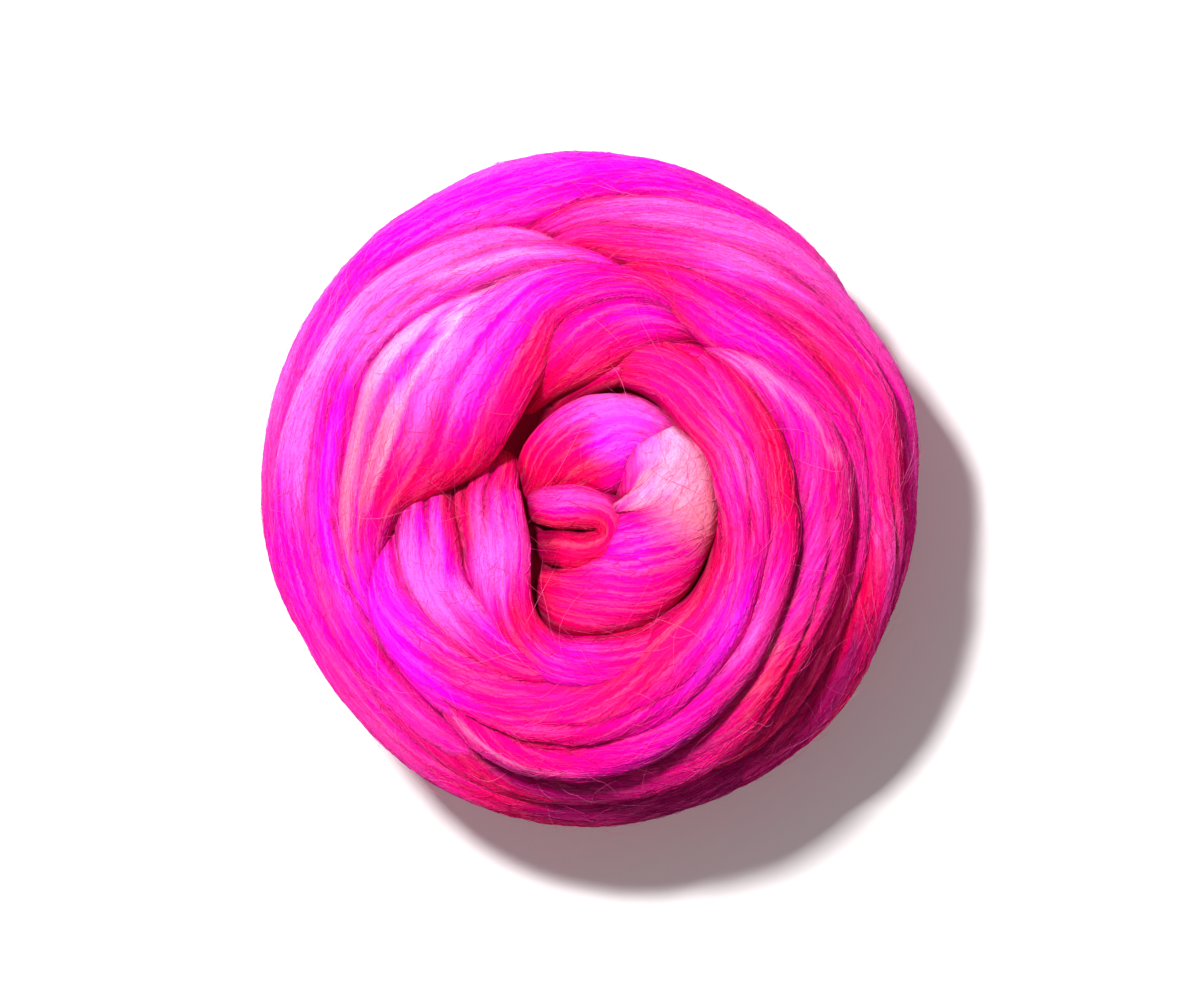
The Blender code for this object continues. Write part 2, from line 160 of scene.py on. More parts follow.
# Fibres: thin three-sided tubes that dip into the lap at both tips. Where the dye has more
# green it is paler, and so are its lighter fibres. Ranges are shares of a fibre's own measure
TUBE_SPOKES = (90.0, 210.0, 330.0, 450.0)
PALE_FIBRE = (0.95, 0.22, 0.66)
PALE_START = 0.35
PALE_GREEN = 0.07
DEEP_SHARE = 0.25
FIBRE_SEED_STEP = 100
FIBRE_DIP = 0.35
FIBRE_LENGTHS = (0.55, 1.45)
FIBRE_GIRTHS = (0.5, 1.5)
WAVE_SIZES = (0.2, 1.0)
WAVE_RUNS = (0.7, 1.3)
STAND_SIZES = (0.2, 1.0)
SHORTER_ACROSS = 0.5
COVER_REACH = 20.0
COVER_START = 0.8

# Loose fibres, which bridge the creases between laps
STRAY_SEED = 7
STRAY_POINTS = 9
STRAY_REACH = 150.0
STRAY_FAN = 0.7
STRAY_LENGTH = (7.0, 26.0)
STRAY_BOW = 0.5
STRAY_WAVES = (0.1, 0.5)
STRAY_WAVE_RUNS = (1.2, 3.0)
STRAY_PHASES = (0.0, 6.28)
STRAY_START = 16.0
STRAY_GAP = 0.12
STRAY_ARCH = 1.6
STRAY_LOOSE = 3.0
STRAY_GIRTHS = (0.6, 1.3)
STRAY_TIP = 0.08
STRAY_PALE = 0.5

# The wool's finish; light spreads inside a lap, and not inside a single fibre
WOOL_FINISH = {
    "Roughness": 0.50, "Specular IOR Level": 0.03, "Subsurface Weight": 0.20,
    "Subsurface Radius": (1.0, 0.25, 0.7), "Subsurface Scale": 0.004,
}
FIBRE_FINISH = {**WOOL_FINISH, "Subsurface Weight": 0.0}
NOISE_SPREAD = (0.3, 0.7)
BUMP_STRENGTH = 0.6
BUMP_DISTANCE = 0.0002

# The stage: places and sizes in metres, and the camera's sensor in millimetres
FLOOR_SIZE = 4.0
FLOOR_FINISH = {"Roughness": 0.7, "Specular IOR Level": 0.2}
KEY_PLACE = (-0.265, 0.315, 0.92)
KEY_TARGET_HEIGHT = 0.04
KEY_SIZE = 0.09
ROOM_COLOUR = (1.0, 0.98, 0.98, 1.0)
CAMERA_X = 0.0025
CAMERA_Y = 0.0001
SENSOR_WIDTH = 36.0


class Outline(NamedTuple):
    """The waist's radius in one direction."""
    turn: float
    radius: float


class Section(NamedTuple):
    """One section of a lap: its place on the skin, its size, and the lean of its outer side."""
    turn: float
    out: float
    lift: float
    width: float
    thickness: float
    lean: float = 0.0


class Lap(NamedTuple):
    """A visible length of the band, from one tucked end to the other."""
    name: str
    hub: str
    edge: float
    sections: tuple


class PlainRun(NamedTuple):
    """Like laps one after another round a hub: how many, where they run, and their band."""
    name: str
    hub: str
    count: int
    first_out: float
    last_out: float
    tilt: float
    width: float
    thickness: float


class Dyed(NamedTuple):
    """The shades across a lap at one turn: the edge next to its hub, its crest, its far edge."""
    turn: float
    inner: str
    crest: str
    outer: str


class Lay(NamedTuple):
    """How the wool lies in a lap: its slant off the lap's run at both ends, and its relief."""
    first: float
    last: float
    relief: float


class Tuft(NamedTuple):
    """A kind of fibre on a lap: points, length, spread, waves, how far it stands off, light."""
    points: int
    length: float
    fan: float
    wave: float
    wave_run: float
    stand: float
    light: float


class Pattern(NamedTuple):
    """Noise in a material: its name, waves per metre, distortion and the range of its values."""
    label: str
    waves: tuple
    distortion: float
    low: float
    high: float


class Surface(NamedTuple):
    """A lap's skin as a grid of points, with what the dye and the fibres need to know of it."""
    points: np.ndarray
    normals: np.ndarray
    turn: np.ndarray
    width: np.ndarray
    along: np.ndarray
    around: np.ndarray
    side: np.ndarray
    rise: np.ndarray
    lay: np.ndarray


def sections(*rows):
    """A lap's sections, one for each row of numbers."""
    return tuple(Section(*row) for row in rows)


def dyes(*rows):
    """Shades along a lap, one for each row of a turn and three shades."""
    return tuple(Dyed(*row) for row in rows)


COMBED = Tuft(7, 21.0, 0.11, 0.45, 1.8, 0.12, 0.3)
RUFFLED = Tuft(5, 7.0, 0.50, 0.45, 0.9, 0.40, 0.6)

# Patterns on a lap's lay, along it and across it, and one in space for the fibres
CRIMP = Pattern("crimp", (550.0, 260.0, 1.0), 0.0, -0.0003, 0.0003)
BROAD = Pattern("broad streaks", (25.0, 620.0, 1.0), 0.3, 1.05, 0.94)
FINE = Pattern("fine streaks", (130.0, 2600.0, 1.0), 0.5, 0.90, 1.06)
GRAIN = Pattern("grain", (1300.0, 3000.0, 1.0), 1.0, 0.66, 1.28)
UNEVEN = Pattern("uneven dye", (1500.0, 1500.0, 1500.0), 0.0, 0.55, 1.38)

OUTLINE = tuple(Outline(*row) for row in (
    (0, 84), (15, 86), (30, 84.5), (45, 84), (75, 85), (105, 86.5), (135, 84), (165, 82.5),
    (200, 82), (225, 82.5), (255, 85.5), (285, 86), (315, 87), (335, 85.5), (360, 84),
))

HUBS = {"crown": (0.0, 0.0), "coil": (5.8, -6.1), "hook": (2.0, -9.9), "base": (0.0, 0.0)}

LAPS = (
    # the outermost lap, high behind and low in front
    Lap("rim", "crown", HALF_FIRM, sections(
        (20, 122, -8, 22, 12), (40, 114, 0, 32, 16), (61, 106, 0, 38, 18), (78, 99, 1, 38, 21),
        (90, 94, 1, 38, 21), (104, 89, 1, 38, 21), (120, 94, 0, 38, 20), (135, 100, 0, 36, 18),
        (155, 100, 0, 36, 18), (180, 104, 0, 34, 18), (200, 110, 0, 32, 18),
        (220, 118, -3, 28, 16), (240, 126, -9, 22, 12))),
    # two laps that come out from under the rim and run down the right side
    Lap("shoulder_outer", "crown", SOFT, sections(
        (106, 69, -8, 8, 8), (92, 71, -1, 12, 12), (80, 74, 1, 16, 14), (65, 79, 1, 18, 15),
        (50, 86, 1, 20, 16), (33, 94, 0, 22, 17), (15, 101, 0, 26, 18), (-5, 107, 0, 28, 18),
        (-25, 112, -1, 28, 18), (-45, 116, -1, 28, 18), (-62, 120, -2, 26, 17),
        (-80, 124, -8, 22, 12))),
    Lap("shoulder_inner", "crown", SOFT, sections(
        (102, 64, -8, 8, 8), (90, 64, -1, 12, 12), (80, 64, 0, 15, 14), (65, 67.5, 0, 17, 15),
        (50, 73, 0, 20, 16), (33, 80, 0, 22, 17), (15, 85, 0, 26, 18), (0, 88.5, -1, 28, 18),
        (-15, 94, -1, 28, 18), (-33, 103, -1, 27, 18), (-50, 111, -1, 26, 18),
        (-65, 115, -1, 26, 17), (-82, 119, -7, 22, 13))),
    # the low lap between the shoulder and the inner ring
    Lap("valley", "crown", SOFT, sections(
        (90, 57, -8, 8, 8), (78, 58, -3, 12, 12), (65, 58, -1, 16, 14), (50, 58.5, -1, 21, 15),
        (35, 63, -2, 22, 16), (20, 68, -3, 22, 16), (5, 75, -4, 20, 16), (-12, 80, -5, 20, 16),
        (-28, 83, -7, 23, 16), (-42, 87, -7, 24, 16), (-58, 96, -7, 24, 15),
        (-75, 104, -9, 18, 12))),
    # the lap that rises at the knot, runs down the right and along the bottom edge
    Lap("ring_outer", "crown", SOFT, sections(
        (52, 48, -9, 7, 8), (40, 51, -3, 11, 12), (25, 54.5, 0, 17, 15), (12, 59, 0, 22, 17),
        (0, 63, 0, 27, 18), (-14, 65, -1, 26, 18), (-30, 65.5, -1, 23, 17),
        (-45, 67.5, -1, 22, 17), (-62, 77, -2, 26, 17), (-80, 86, -3, 28, 17),
        (-100, 90, -3, 28, 17), (-120, 87, -3, 28, 17), (-140, 82, -4, 24, 16),
        (-158, 80, -9, 18, 12))),
    # laps of the left side
    Lap("left_outer", "crown", SOFT, sections(
        (92, 62, -8, 8, 8), (105, 65, -1, 14, 14), (120, 70, 0, 18, 15), (137, 76.5, 0, 20, 16),
        (155, 80, 0, 22, 16), (172, 85, 0, 26, 17), (190, 89, 0, 28, 18), (207, 93, 0, 30, 18),
        (222, 97, 0, 32, 18), (240, 102, 0, 32, 18), (260, 106, 0, 32, 18),
        (280, 110, 0, 30, 18), (300, 115, -1, 28, 18), (318, 121, -6, 24, 14))),
    Lap("left_inner", "crown", SOFT, sections(
        (72, 54, -9, 8, 8), (86, 57, -2, 12, 13), (104, 59.5, 0, 15, 15), (120, 62.5, 0, 18, 16),
        (137, 68, 0, 20, 16), (155, 71, 0, 20, 16), (172, 71, -1, 22, 16), (190, 73, -1, 22, 16),
        (207, 76, -1, 22, 16), (225, 80, -2, 22, 16), (245, 84, -4, 20, 15),
        (262, 86, -9, 16, 12))),
    # the inner ring: a narrow outer lap and a wide one that fans out on the left
    Lap("ring_edge", "crown", HALF_FIRM, sections(
        (62, 45, -13, 7, 8), (48, 44.5, -6, 11, 12), (32, 44, -1, 13, 14), (16, 45, 1, 13, 15),
        (0, 48, 1, 13, 16), (-18, 51, 1, 12.5, 16), (-35, 53.5, 1, 13, 16), (-52, 58, 1, 15, 16),
        (-68, 63.5, 1, 16, 16), (-82, 68, 1, 18, 16), (-97, 71, 1, 18, 16),
        (-110, 69, 1, 18, 16), (-125, 63, 0, 16, 15), (-140, 61, -3, 14, 14),
        (-155, 58, -9, 12, 12))),
    Lap("ring_fan", "crown", HALF_FIRM, sections(
        (184, 54, -12, 10, 10), (196, 57, -5, 15, 14), (210, 60.5, -1, 19, 16),
        (225, 60.5, 1, 23, 17), (240, 60, 2, 25, 18), (255, 59, 2, 27, 19), (270, 57, 2, 28, 20),
        (285, 53, 2, 27, 20), (300, 48.5, 2, 25, 19), (315, 46, 2, 20, 18),
        (330, 44, 1, 17.5, 17), (345, 42, 1, 17.5, 17), (360, 39.5, 1, 18, 16),
        (376, 37.5, 0, 17, 16), (392, 36, -1, 18, 15), (408, 36.5, -2, 17, 14),
        (426, 35.5, -4, 16, 13), (444, 33, -9, 13, 12), (460, 31, -16, 10, 10))),
    # the two leaves left of the coil, which run on round its foot
    Lap("leaf_outer", "crown", FIRM, sections(
        (160, 40, -14, 12, 10), (172, 42, -7, 14, 13), (184, 43, -4, 16, 14),
        (198, 44.5, -2, 19, 15), (212, 46.5, -1, 18, 15), (226, 46.5, 0, 16, 15),
        (242, 46.5, 0, 15, 14), (258, 45, -1, 14, 14), (274, 43, -4, 12, 12),
        (288, 41, -9, 10, 10))),
    Lap("leaf_inner", "coil", FIRM, sections(
        (148, 37, -18, 12, 10), (158, 34.5, -11, 17, 13), (170, 34, -7, 21, 15, -6),
        (182, 32.3, -5, 21.5, 16, -10), (196, 31.3, -4, 20.5, 16, -10),
        (210, 33.7, -3, 19.5, 16, -8), (223, 36.8, -2, 17, 15, -4), (236, 39, -1, 15, 14),
        (250, 39.5, 0, 14, 14), (266, 38, 0, 15, 14), (285, 36, -1, 14, 14),
        (305, 34.5, -4, 13, 13), (325, 33.5, -8, 12, 12), (345, 33, -10, 10, 11),
        (368, 32.5, -10, 10, 11), (390, 32, -10, 10, 11), (412, 31.5, -10, 11, 11),
        (434, 32, -13, 10, 10), (452, 32, -18, 9, 9))),
    # the laps that come over the top of the coil from the right
    Lap("brow_low", "coil", FIRM, sections(
        (52, 50.5, -10, 7, 7), (62, 46, -6, 8, 9), (74, 41, -6, 9, 10), (88, 37, -7, 10, 10),
        (104, 33.5, -11, 9, 9), (120, 31, -17, 8, 8))),
    Lap("brow", "coil", HALF_FIRM, sections(
        (56, 52.5, -14, 8, 8), (66, 51.5, -8, 13, 12), (77, 49.5, -3, 18, 16),
        (89, 47, -1, 22, 18), (102, 43.5, -1, 22, 18), (115, 41, -4, 19, 16),
        (128, 39, -12, 14, 12), (140, 38, -20, 10, 9))),
    # the broad lobe on the upper left, which lies over the leaves
    Lap("lobe", "crown", FIRM, sections(
        (58, 53.5, -8, 6, 8), (73, 53, -1, 9, 12), (88, 50.5, 1, 14, 15), (103, 47.5, 2, 20, 18),
        (117, 43.5, 3, 30, 21), (131, 43, 4, 38, 23), (145, 44.5, 4, 43, 24),
        (158, 46.5, 4, 42, 23), (170, 50.5, 3, 33, 21), (182, 56.5, 2, 21, 18),
        (194, 62, 0, 14, 15), (208, 67, -3, 10, 12), (222, 70, -9, 8, 10))),
    # the coil: its back, the bulge that turns over it, and the hook where the length begins
    Lap("coil_back", "coil", FIRM, sections(
        (196, 25, -26, 10, 10), (178, 22.5, -20, 14, 12), (160, 19, -13, 17, 13),
        (140, 18, -7, 21, 15), (118, 17, -3, 24, 17), (96, 17, 0, 26, 18), (74, 19, 0, 23, 18),
        (52, 18.5, -2, 20, 17), (32, 16.5, -7, 17, 15), (12, 14.5, -13, 12, 12))),
    Lap("coil_bulge", "coil", FIRM, sections(
        (114, 14, -14, 13, 13), (94, 13.5, -8, 18, 16), (70, 14, -1, 23, 19),
        (48, 15, 1, 27, 20), (26, 14.5, 2, 28.5, 22), (4, 14.5, 2, 28.5, 22),
        (-20, 14, 1, 26.5, 21), (-45, 15, 0, 26, 20), (-70, 18, -1, 24, 19),
        (-90, 20.5, -2, 22.5, 18), (-106, 23.5, -3, 20, 17), (-117, 26, -5, 18, 16),
        (-125, 28, -9, 16, 15), (-131, 30.5, -16, 13, 12), (-136, 33, -24, 10, 9))),
    Lap("hook", "hook", FIRM, sections(
        (161.7, 21.1, -20, 9, 8), (157.5, 15.2, -11, 11, 10), (144.2, 9.2, -5, 11.5, 11),
        (100.7, 5.4, -4, 11.5, 11), (30, 5, -4, 10.5, 11), (-26, 5, -5, 10.5, 11),
        (-90, 5.3, -6, 10.5, 11), (-139.8, 8.5, -7, 10.5, 11), (-155, 13.8, -13, 9, 9),
        (-161.5, 19.5, -21, 8, 8))),
    # a low lap under the rim at the back
    Lap("rim_low", "crown", SOFT, sections(
        (34, 121, -9, 14, 10), (52, 117, -5, 18, 14), (76, 113, -4, 21, 15),
        (104, 111, -4, 22, 15), (130, 113, -4, 21, 15), (156, 118, -5, 18, 14),
        (176, 122, -9, 14, 10))),
)

PLAIN_RUNS = (
    PlainRun("side", "crown", 6, 124.0, 166.0, 8.0, 30.0, 18.0),
    PlainRun("under", "base", 4, 50.0, 14.0, 5.0, 27.0, 16.0),
)

# Shades along each lap; the plain laps take theirs in turn. The dark purple is painted shade on
# the side of the top laps away from the light, at their tucked ends and in creases, and a dye
# shade on the plain laps
DYES = {
    "rim_low": dyes(
        (40, "crimson", "pink", "crimson"), (70, "magenta", "magenta", "pink"),
        (110, "magenta", "violet", "magenta"), (150, "rose", "magenta", "pink"),
        (176, "pink", "pink", "pink")),
    "rim": dyes(
        (44, "rose", "lilac", "rose"), (62, "magenta", "rose", "lilac"),
        (78, "magenta", "violet", "magenta"), (98, "magenta", "violet", "magenta"),
        (118, "magenta", "violet", "lilac"), (135, "magenta", "magenta", "lilac"),
        (165, "rose", "lilac", "lilac"), (180, "rose", "rose", "rose"),
        (192, "magenta", "magenta", "magenta"), (205, "rose", "rose", "rose"),
        (230, "crimson", "plum", "plum")),
    "shoulder_outer": dyes(
        (95, "rose", "pink", "crimson"), (80, "rose", "lilac", "pink"),
        (62, "rose", "lilac", "rose"), (46, "rose", "lilac", "rose"),
        (20, "rose", "rose", "lilac"), (0, "pink", "rose", "rose"),
        (-25, "plum", "pink", "plum"), (-50, "plum", "plum", "plum")),
    "shoulder_inner": dyes(
        (90, "crimson", "pink", "rose"), (72, "pink", "rose", "pink"),
        (56, "magenta", "lilac", "rose"), (45, "pink", "rose", "rose"),
        (22, "crimson", "rose", "pink"), (8, "rose", "crimson", "rose"),
        (-12, "crimson", "rose", "pink"), (-22, "crimson", "pink", "pink"),
        (-34, "plum", "crimson", "pink"), (-60, "plum", "pink", "plum")),
    "valley": dyes(
        (73, "crimson", "crimson", "crimson"), (58, "pink", "magenta", "pink"),
        (42, "magenta", "magenta", "pink"), (26, "magenta", "pink", "pink"),
        (2, "pink", "rose", "pink"), (-20, "crimson", "pink", "crimson"),
        (-40, "plum", "crimson", "pink"), (-60, "plum", "crimson", "plum")),
    "ring_outer": dyes(
        (42, "pink", "rose", "pink"), (32, "pink", "rose", "magenta"),
        (18, "magenta", "rose", "rose"), (3, "rose", "pink", "pink"),
        (-12, "magenta", "rose", "crimson"), (-26, "magenta", "rose", "pink"),
        (-42, "rose", "crimson", "crimson"), (-62, "plum", "pink", "crimson"),
        (-90, "plum", "plum", "plum"), (-106, "plum", "crimson", "crimson"),
        (-122, "crimson", "pink", "pink"), (-150, "pink", "rose", "rose")),
    "left_outer": dyes(
        (100, "rose", "lilac", "pink"), (131, "lilac", "lilac", "rose"),
        (155, "lilac", "lilac", "lilac"), (172, "lilac", "lilac", "lilac"),
        (187, "rose", "magenta", "magenta"), (200, "magenta", "magenta", "magenta"),
        (215, "rose", "rose", "lilac"), (235, "rose", "rose", "rose"),
        (250, "crimson", "pink", "rose"), (262, "plum", "crimson", "crimson"),
        (285, "plum", "plum", "plum")),
    "left_inner": dyes(
        (86, "pink", "magenta", "crimson"), (106, "rose", "lilac", "rose"),
        (125, "violet", "rose", "lilac"), (142, "violet", "lilac", "rose"),
        (158, "magenta", "magenta", "rose"), (177, "magenta", "magenta", "rose"),
        (190, "pink", "magenta", "rose"), (203, "rose", "rose", "rose"),
        (216, "pink", "magenta", "magenta"), (245, "rose", "rose", "rose")),
    "ring_edge": dyes(
        (42, "lilac", "pink", "crimson"), (18, "rose", "crimson", "crimson"),
        (-2, "pink", "crimson", "crimson"), (-21, "magenta", "pink", "pink"),
        (-38, "lilac", "rose", "crimson"), (-55, "magenta", "pink", "plum"),
        (-75, "pink", "magenta", "plum"), (-97, "pink", "pink", "plum"),
        (-112, "pink", "pink", "rose"), (-140, "pink", "pink", "crimson")),
    "ring_fan": dyes(
        (198, "rose", "magenta", "violet"), (215, "magenta", "violet", "magenta"),
        (231, "pink", "magenta", "magenta"), (247, "pink", "pink", "crimson"),
        (264, "pink", "pink", "crimson"), (280, "crimson", "pink", "magenta"),
        (297, "crimson", "pink", "magenta"), (317, "crimson", "magenta", "pink"),
        (337, "crimson", "pink", "magenta"), (361, "pink", "rose", "pink"),
        (387, "crimson", "pink", "magenta"), (412, "pink", "pink", "crimson"),
        (438, "crimson", "crimson", "crimson")),
    "leaf_outer": dyes(
        (175, "crimson", "pink", "pink"), (188, "crimson", "magenta", "rose"),
        (204, "pink", "lilac", "lilac"), (215, "magenta", "lilac", "lilac"),
        (226, "lilac", "rose", "rose"), (240, "magenta", "pink", "pink"),
        (262, "pink", "pink", "crimson")),
    "leaf_inner": dyes(
        (160, "crimson", "pink", "crimson"), (177, "rose", "rose", "crimson"),
        (204, "rose", "lilac", "magenta"), (220, "pink", "rose", "magenta"),
        (232, "crimson", "crimson", "magenta"), (255, "pink", "magenta", "magenta"),
        (280, "crimson", "pink", "magenta"), (310, "crimson", "crimson", "crimson")),
    "brow_low": dyes(
        (56, "pink", "rose", "pink"), (74, "crimson", "pink", "crimson"),
        (104, "crimson", "crimson", "crimson")),
    "brow": dyes(
        (58, "crimson", "crimson", "pink"), (76, "crimson", "magenta", "magenta"),
        (90, "crimson", "pink", "magenta"), (103, "crimson", "pink", "pink"),
        (118, "crimson", "crimson", "crimson")),
    "lobe": dyes(
        (64, "magenta", "pink", "crimson"), (80, "magenta", "pink", "pink"),
        (98, "pink", "magenta", "magenta"), (114, "crimson", "magenta", "lilac"),
        (138, "pink", "magenta", "lilac"), (160, "crimson", "pink", "rose"),
        (178, "crimson", "pink", "rose"), (194, "magenta", "rose", "rose"),
        (208, "violet", "violet", "magenta")),
    "coil_back": dyes(
        (178, "plum", "crimson", "crimson"), (145, "crimson", "crimson", "crimson"),
        (114, "crimson", "crimson", "rose"), (84, "magenta", "violet", "lilac"),
        (55, "rose", "rose", "rose")),
    "coil_bulge": dyes(
        (96, "crimson", "pink", "magenta"), (76, "pink", "pink", "rose"),
        (58, "pink", "rose", "lilac"), (46, "pink", "blush", "pale"),
        (26, "rose", "pale", "blush"), (8, "pink", "blush", "blush"),
        (-10, "pink", "rose", "blush"), (-32, "magenta", "rose", "pink"),
        (-60, "magenta", "pink", "crimson"), (-98, "pink", "pink", "crimson"),
        (-124, "crimson", "crimson", "crimson")),
    "hook": dyes(
        (160, "crimson", "rose", "rose"), (140, "crimson", "rose", "rose"),
        (80, "crimson", "crimson", "rose"), (-30, "crimson", "crimson", "pink"),
        (-90, "crimson", "crimson", "crimson"), (-140, "crimson", "crimson", "crimson"),
        # the hook's end is painted shade where it goes down into the coil
        (-155, "deep", "deep", "deep")),
}

PLAIN_DYES = (
    dyes(
        (0, "rose", "pink", "magenta"), (300, "pink", "pink", "rose"),
        (520, "rose", "rose", "pink"), (900, "pink", "pink", "pink")),
    dyes(
        (0, "plum", "crimson", "crimson"), (30, "crimson", "pink", "crimson"),
        (70, "magenta", "pink", "pink"), (130, "rose", "magenta", "pink"),
        (220, "pink", "pink", "rose"), (262, "plum", "crimson", "pink"),
        (312, "plum", "crimson", "plum"), (440, "pink", "pink", "crimson"),
        (1100, "pink", "rose", "pink")),
    dyes(
        (0, "magenta", "pink", "pink"), (170, "magenta", "rose", "rose"),
        (260, "pink", "pink", "crimson"), (300, "crimson", "crimson", "pink"),
        (345, "plum", "crimson", "crimson"), (400, "pink", "pink", "pink"),
        (480, "pink", "magenta", "pink"), (700, "rose", "rose", "magenta")),
)

# How the wool lies in each lap
PLAIN_LAY = Lay(4.0, 4.0, 1.0)
LAYS = {
    "rim": Lay(3.0, 3.0, 1.0), "rim_low": Lay(4.0, 4.0, 0.8),
    "shoulder_outer": Lay(-4.0, -4.0, 1.0), "shoulder_inner": Lay(-4.0, -4.0, 1.0),
    "valley": Lay(-4.0, -4.0, 0.9), "ring_outer": Lay(18.0, 6.0, 0.9),
    "left_outer": Lay(4.0, 4.0, 1.0), "left_inner": Lay(4.0, 4.0, 1.0),
    "ring_edge": Lay(8.0, 8.0, 0.9), "ring_fan": Lay(10.0, 4.0, 1.0),
    "leaf_outer": Lay(-6.0, 0.0, 0.6), "leaf_inner": Lay(-5.0, -5.0, 0.6),
    "brow_low": Lay(0.0, 0.0, 0.8), "brow": Lay(4.0, 14.0, 0.8),
    "lobe": Lay(4.0, 14.0, 0.7), "coil_back": Lay(-4.0, -10.0, 0.7),
    "coil_bulge": Lay(86.0, 6.0, 0.3), "hook": Lay(0.0, 0.0, 0.3),
}

# Laps of one group share a piece of fibres, and laps not named here are in the lower one
LOWER = "lower"
FIBRE_GROUPS = {
    "rim": "back", "shoulder_outer": "right", "shoulder_inner": "right", "valley": "right",
    "left_outer": "back", "left_inner": "left", "ring_outer": "left", "ring_edge": "ring",
    "ring_fan": "ring", "leaf_outer": "coil", "leaf_inner": "coil", "brow_low": "coil",
    "brow": "coil", "lobe": "coil", "coil_back": "coil", "coil_bulge": "coil", "hook": "coil",
}

# Folds in a lap: rows of a turn, a place across, a depth and a width
FOLDS = {
    "lobe": (
        ((120, 0.85, 0, 1.6), (131, 0.55, 1, 2), (144, 0.36, 1.6, 2.2), (157, 0.38, 1.6, 2.2),
         (167, 0.34, 1.2, 2), (180, 0.15, 0, 1.5)),
    ),
    "leaf_inner": (
        ((160, -0.3, 1.5, 2), (178, -0.15, 1.8, 2.2), (192, 0.05, 0.8, 2), (204, 0.2, 0, 1.6)),
        ((160, 0.35, 1.5, 1.6), (176, 0.45, 1.2, 1.8), (190, 0.5, 0, 1.5)),
    ),
    "leaf_outer": (
        ((168, -0.1, 1, 1.6), (186, -0.25, 1.4, 1.8), (202, -0.4, 1, 1.8), (222, -0.35, 0, 1.5)),
    ),
    "ring_fan": (
        ((214, 0.35, 0, 1.5), (232, 0.35, 1, 1.8), (250, 0.4, 1.2, 2), (268, 0.5, 1, 2),
         (286, 0.6, 0, 1.5)),
        ((222, -0.2, 0, 1.5), (244, -0.1, 0.9, 1.8), (266, 0, 1, 2), (290, 0.15, 0.6, 1.8),
         (306, 0.25, 0, 1.5)),
        ((330, -0.2, 0, 1.5), (350, 0, 1.2, 2), (372, 0.15, 1.2, 2), (394, 0.3, 0, 1.5)),
    ),
    "ring_outer": (
        ((6, -0.3, 0, 1.5), (-12, -0.1, 1, 2), (-32, 0.1, 1.4, 2.2), (-52, 0.3, 0.8, 2),
         (-68, 0.4, 0, 1.5)),
    ),
    "rim": (
        ((58, 0, 0, 3), (74, 0.05, 1.6, 4), (92, 0.1, 2, 4.5), (112, 0.15, 2, 4.5),
         (132, 0.1, 1.4, 4), (154, 0.1, 0, 3)),
    ),
    "left_inner": (
        ((112, 0, 0, 1.5), (132, -0.2, 1.2, 1.8), (152, -0.1, 1.3, 2), (176, 0.1, 1, 2),
         (200, 0.2, 0, 1.5)),
    ),
    "shoulder_inner": (
        ((66, 0.1, 0, 1.5), (48, -0.15, 1, 1.8), (28, 0, 1.2, 2), (6, 0.2, 0, 1.5)),
        ((10, -0.4, 0, 1.5), (-10, -0.1, 1.4, 2), (-30, 0.1, 1.4, 2), (-52, 0.2, 0, 1.5)),
    ),
    "coil_back": (
        ((132, -0.3, 0, 1.2), (112, 0.2, 0.8, 1.5), (88, 0.35, 0.7, 1.5), (66, 0.4, 0, 1.2)),
    ),
}
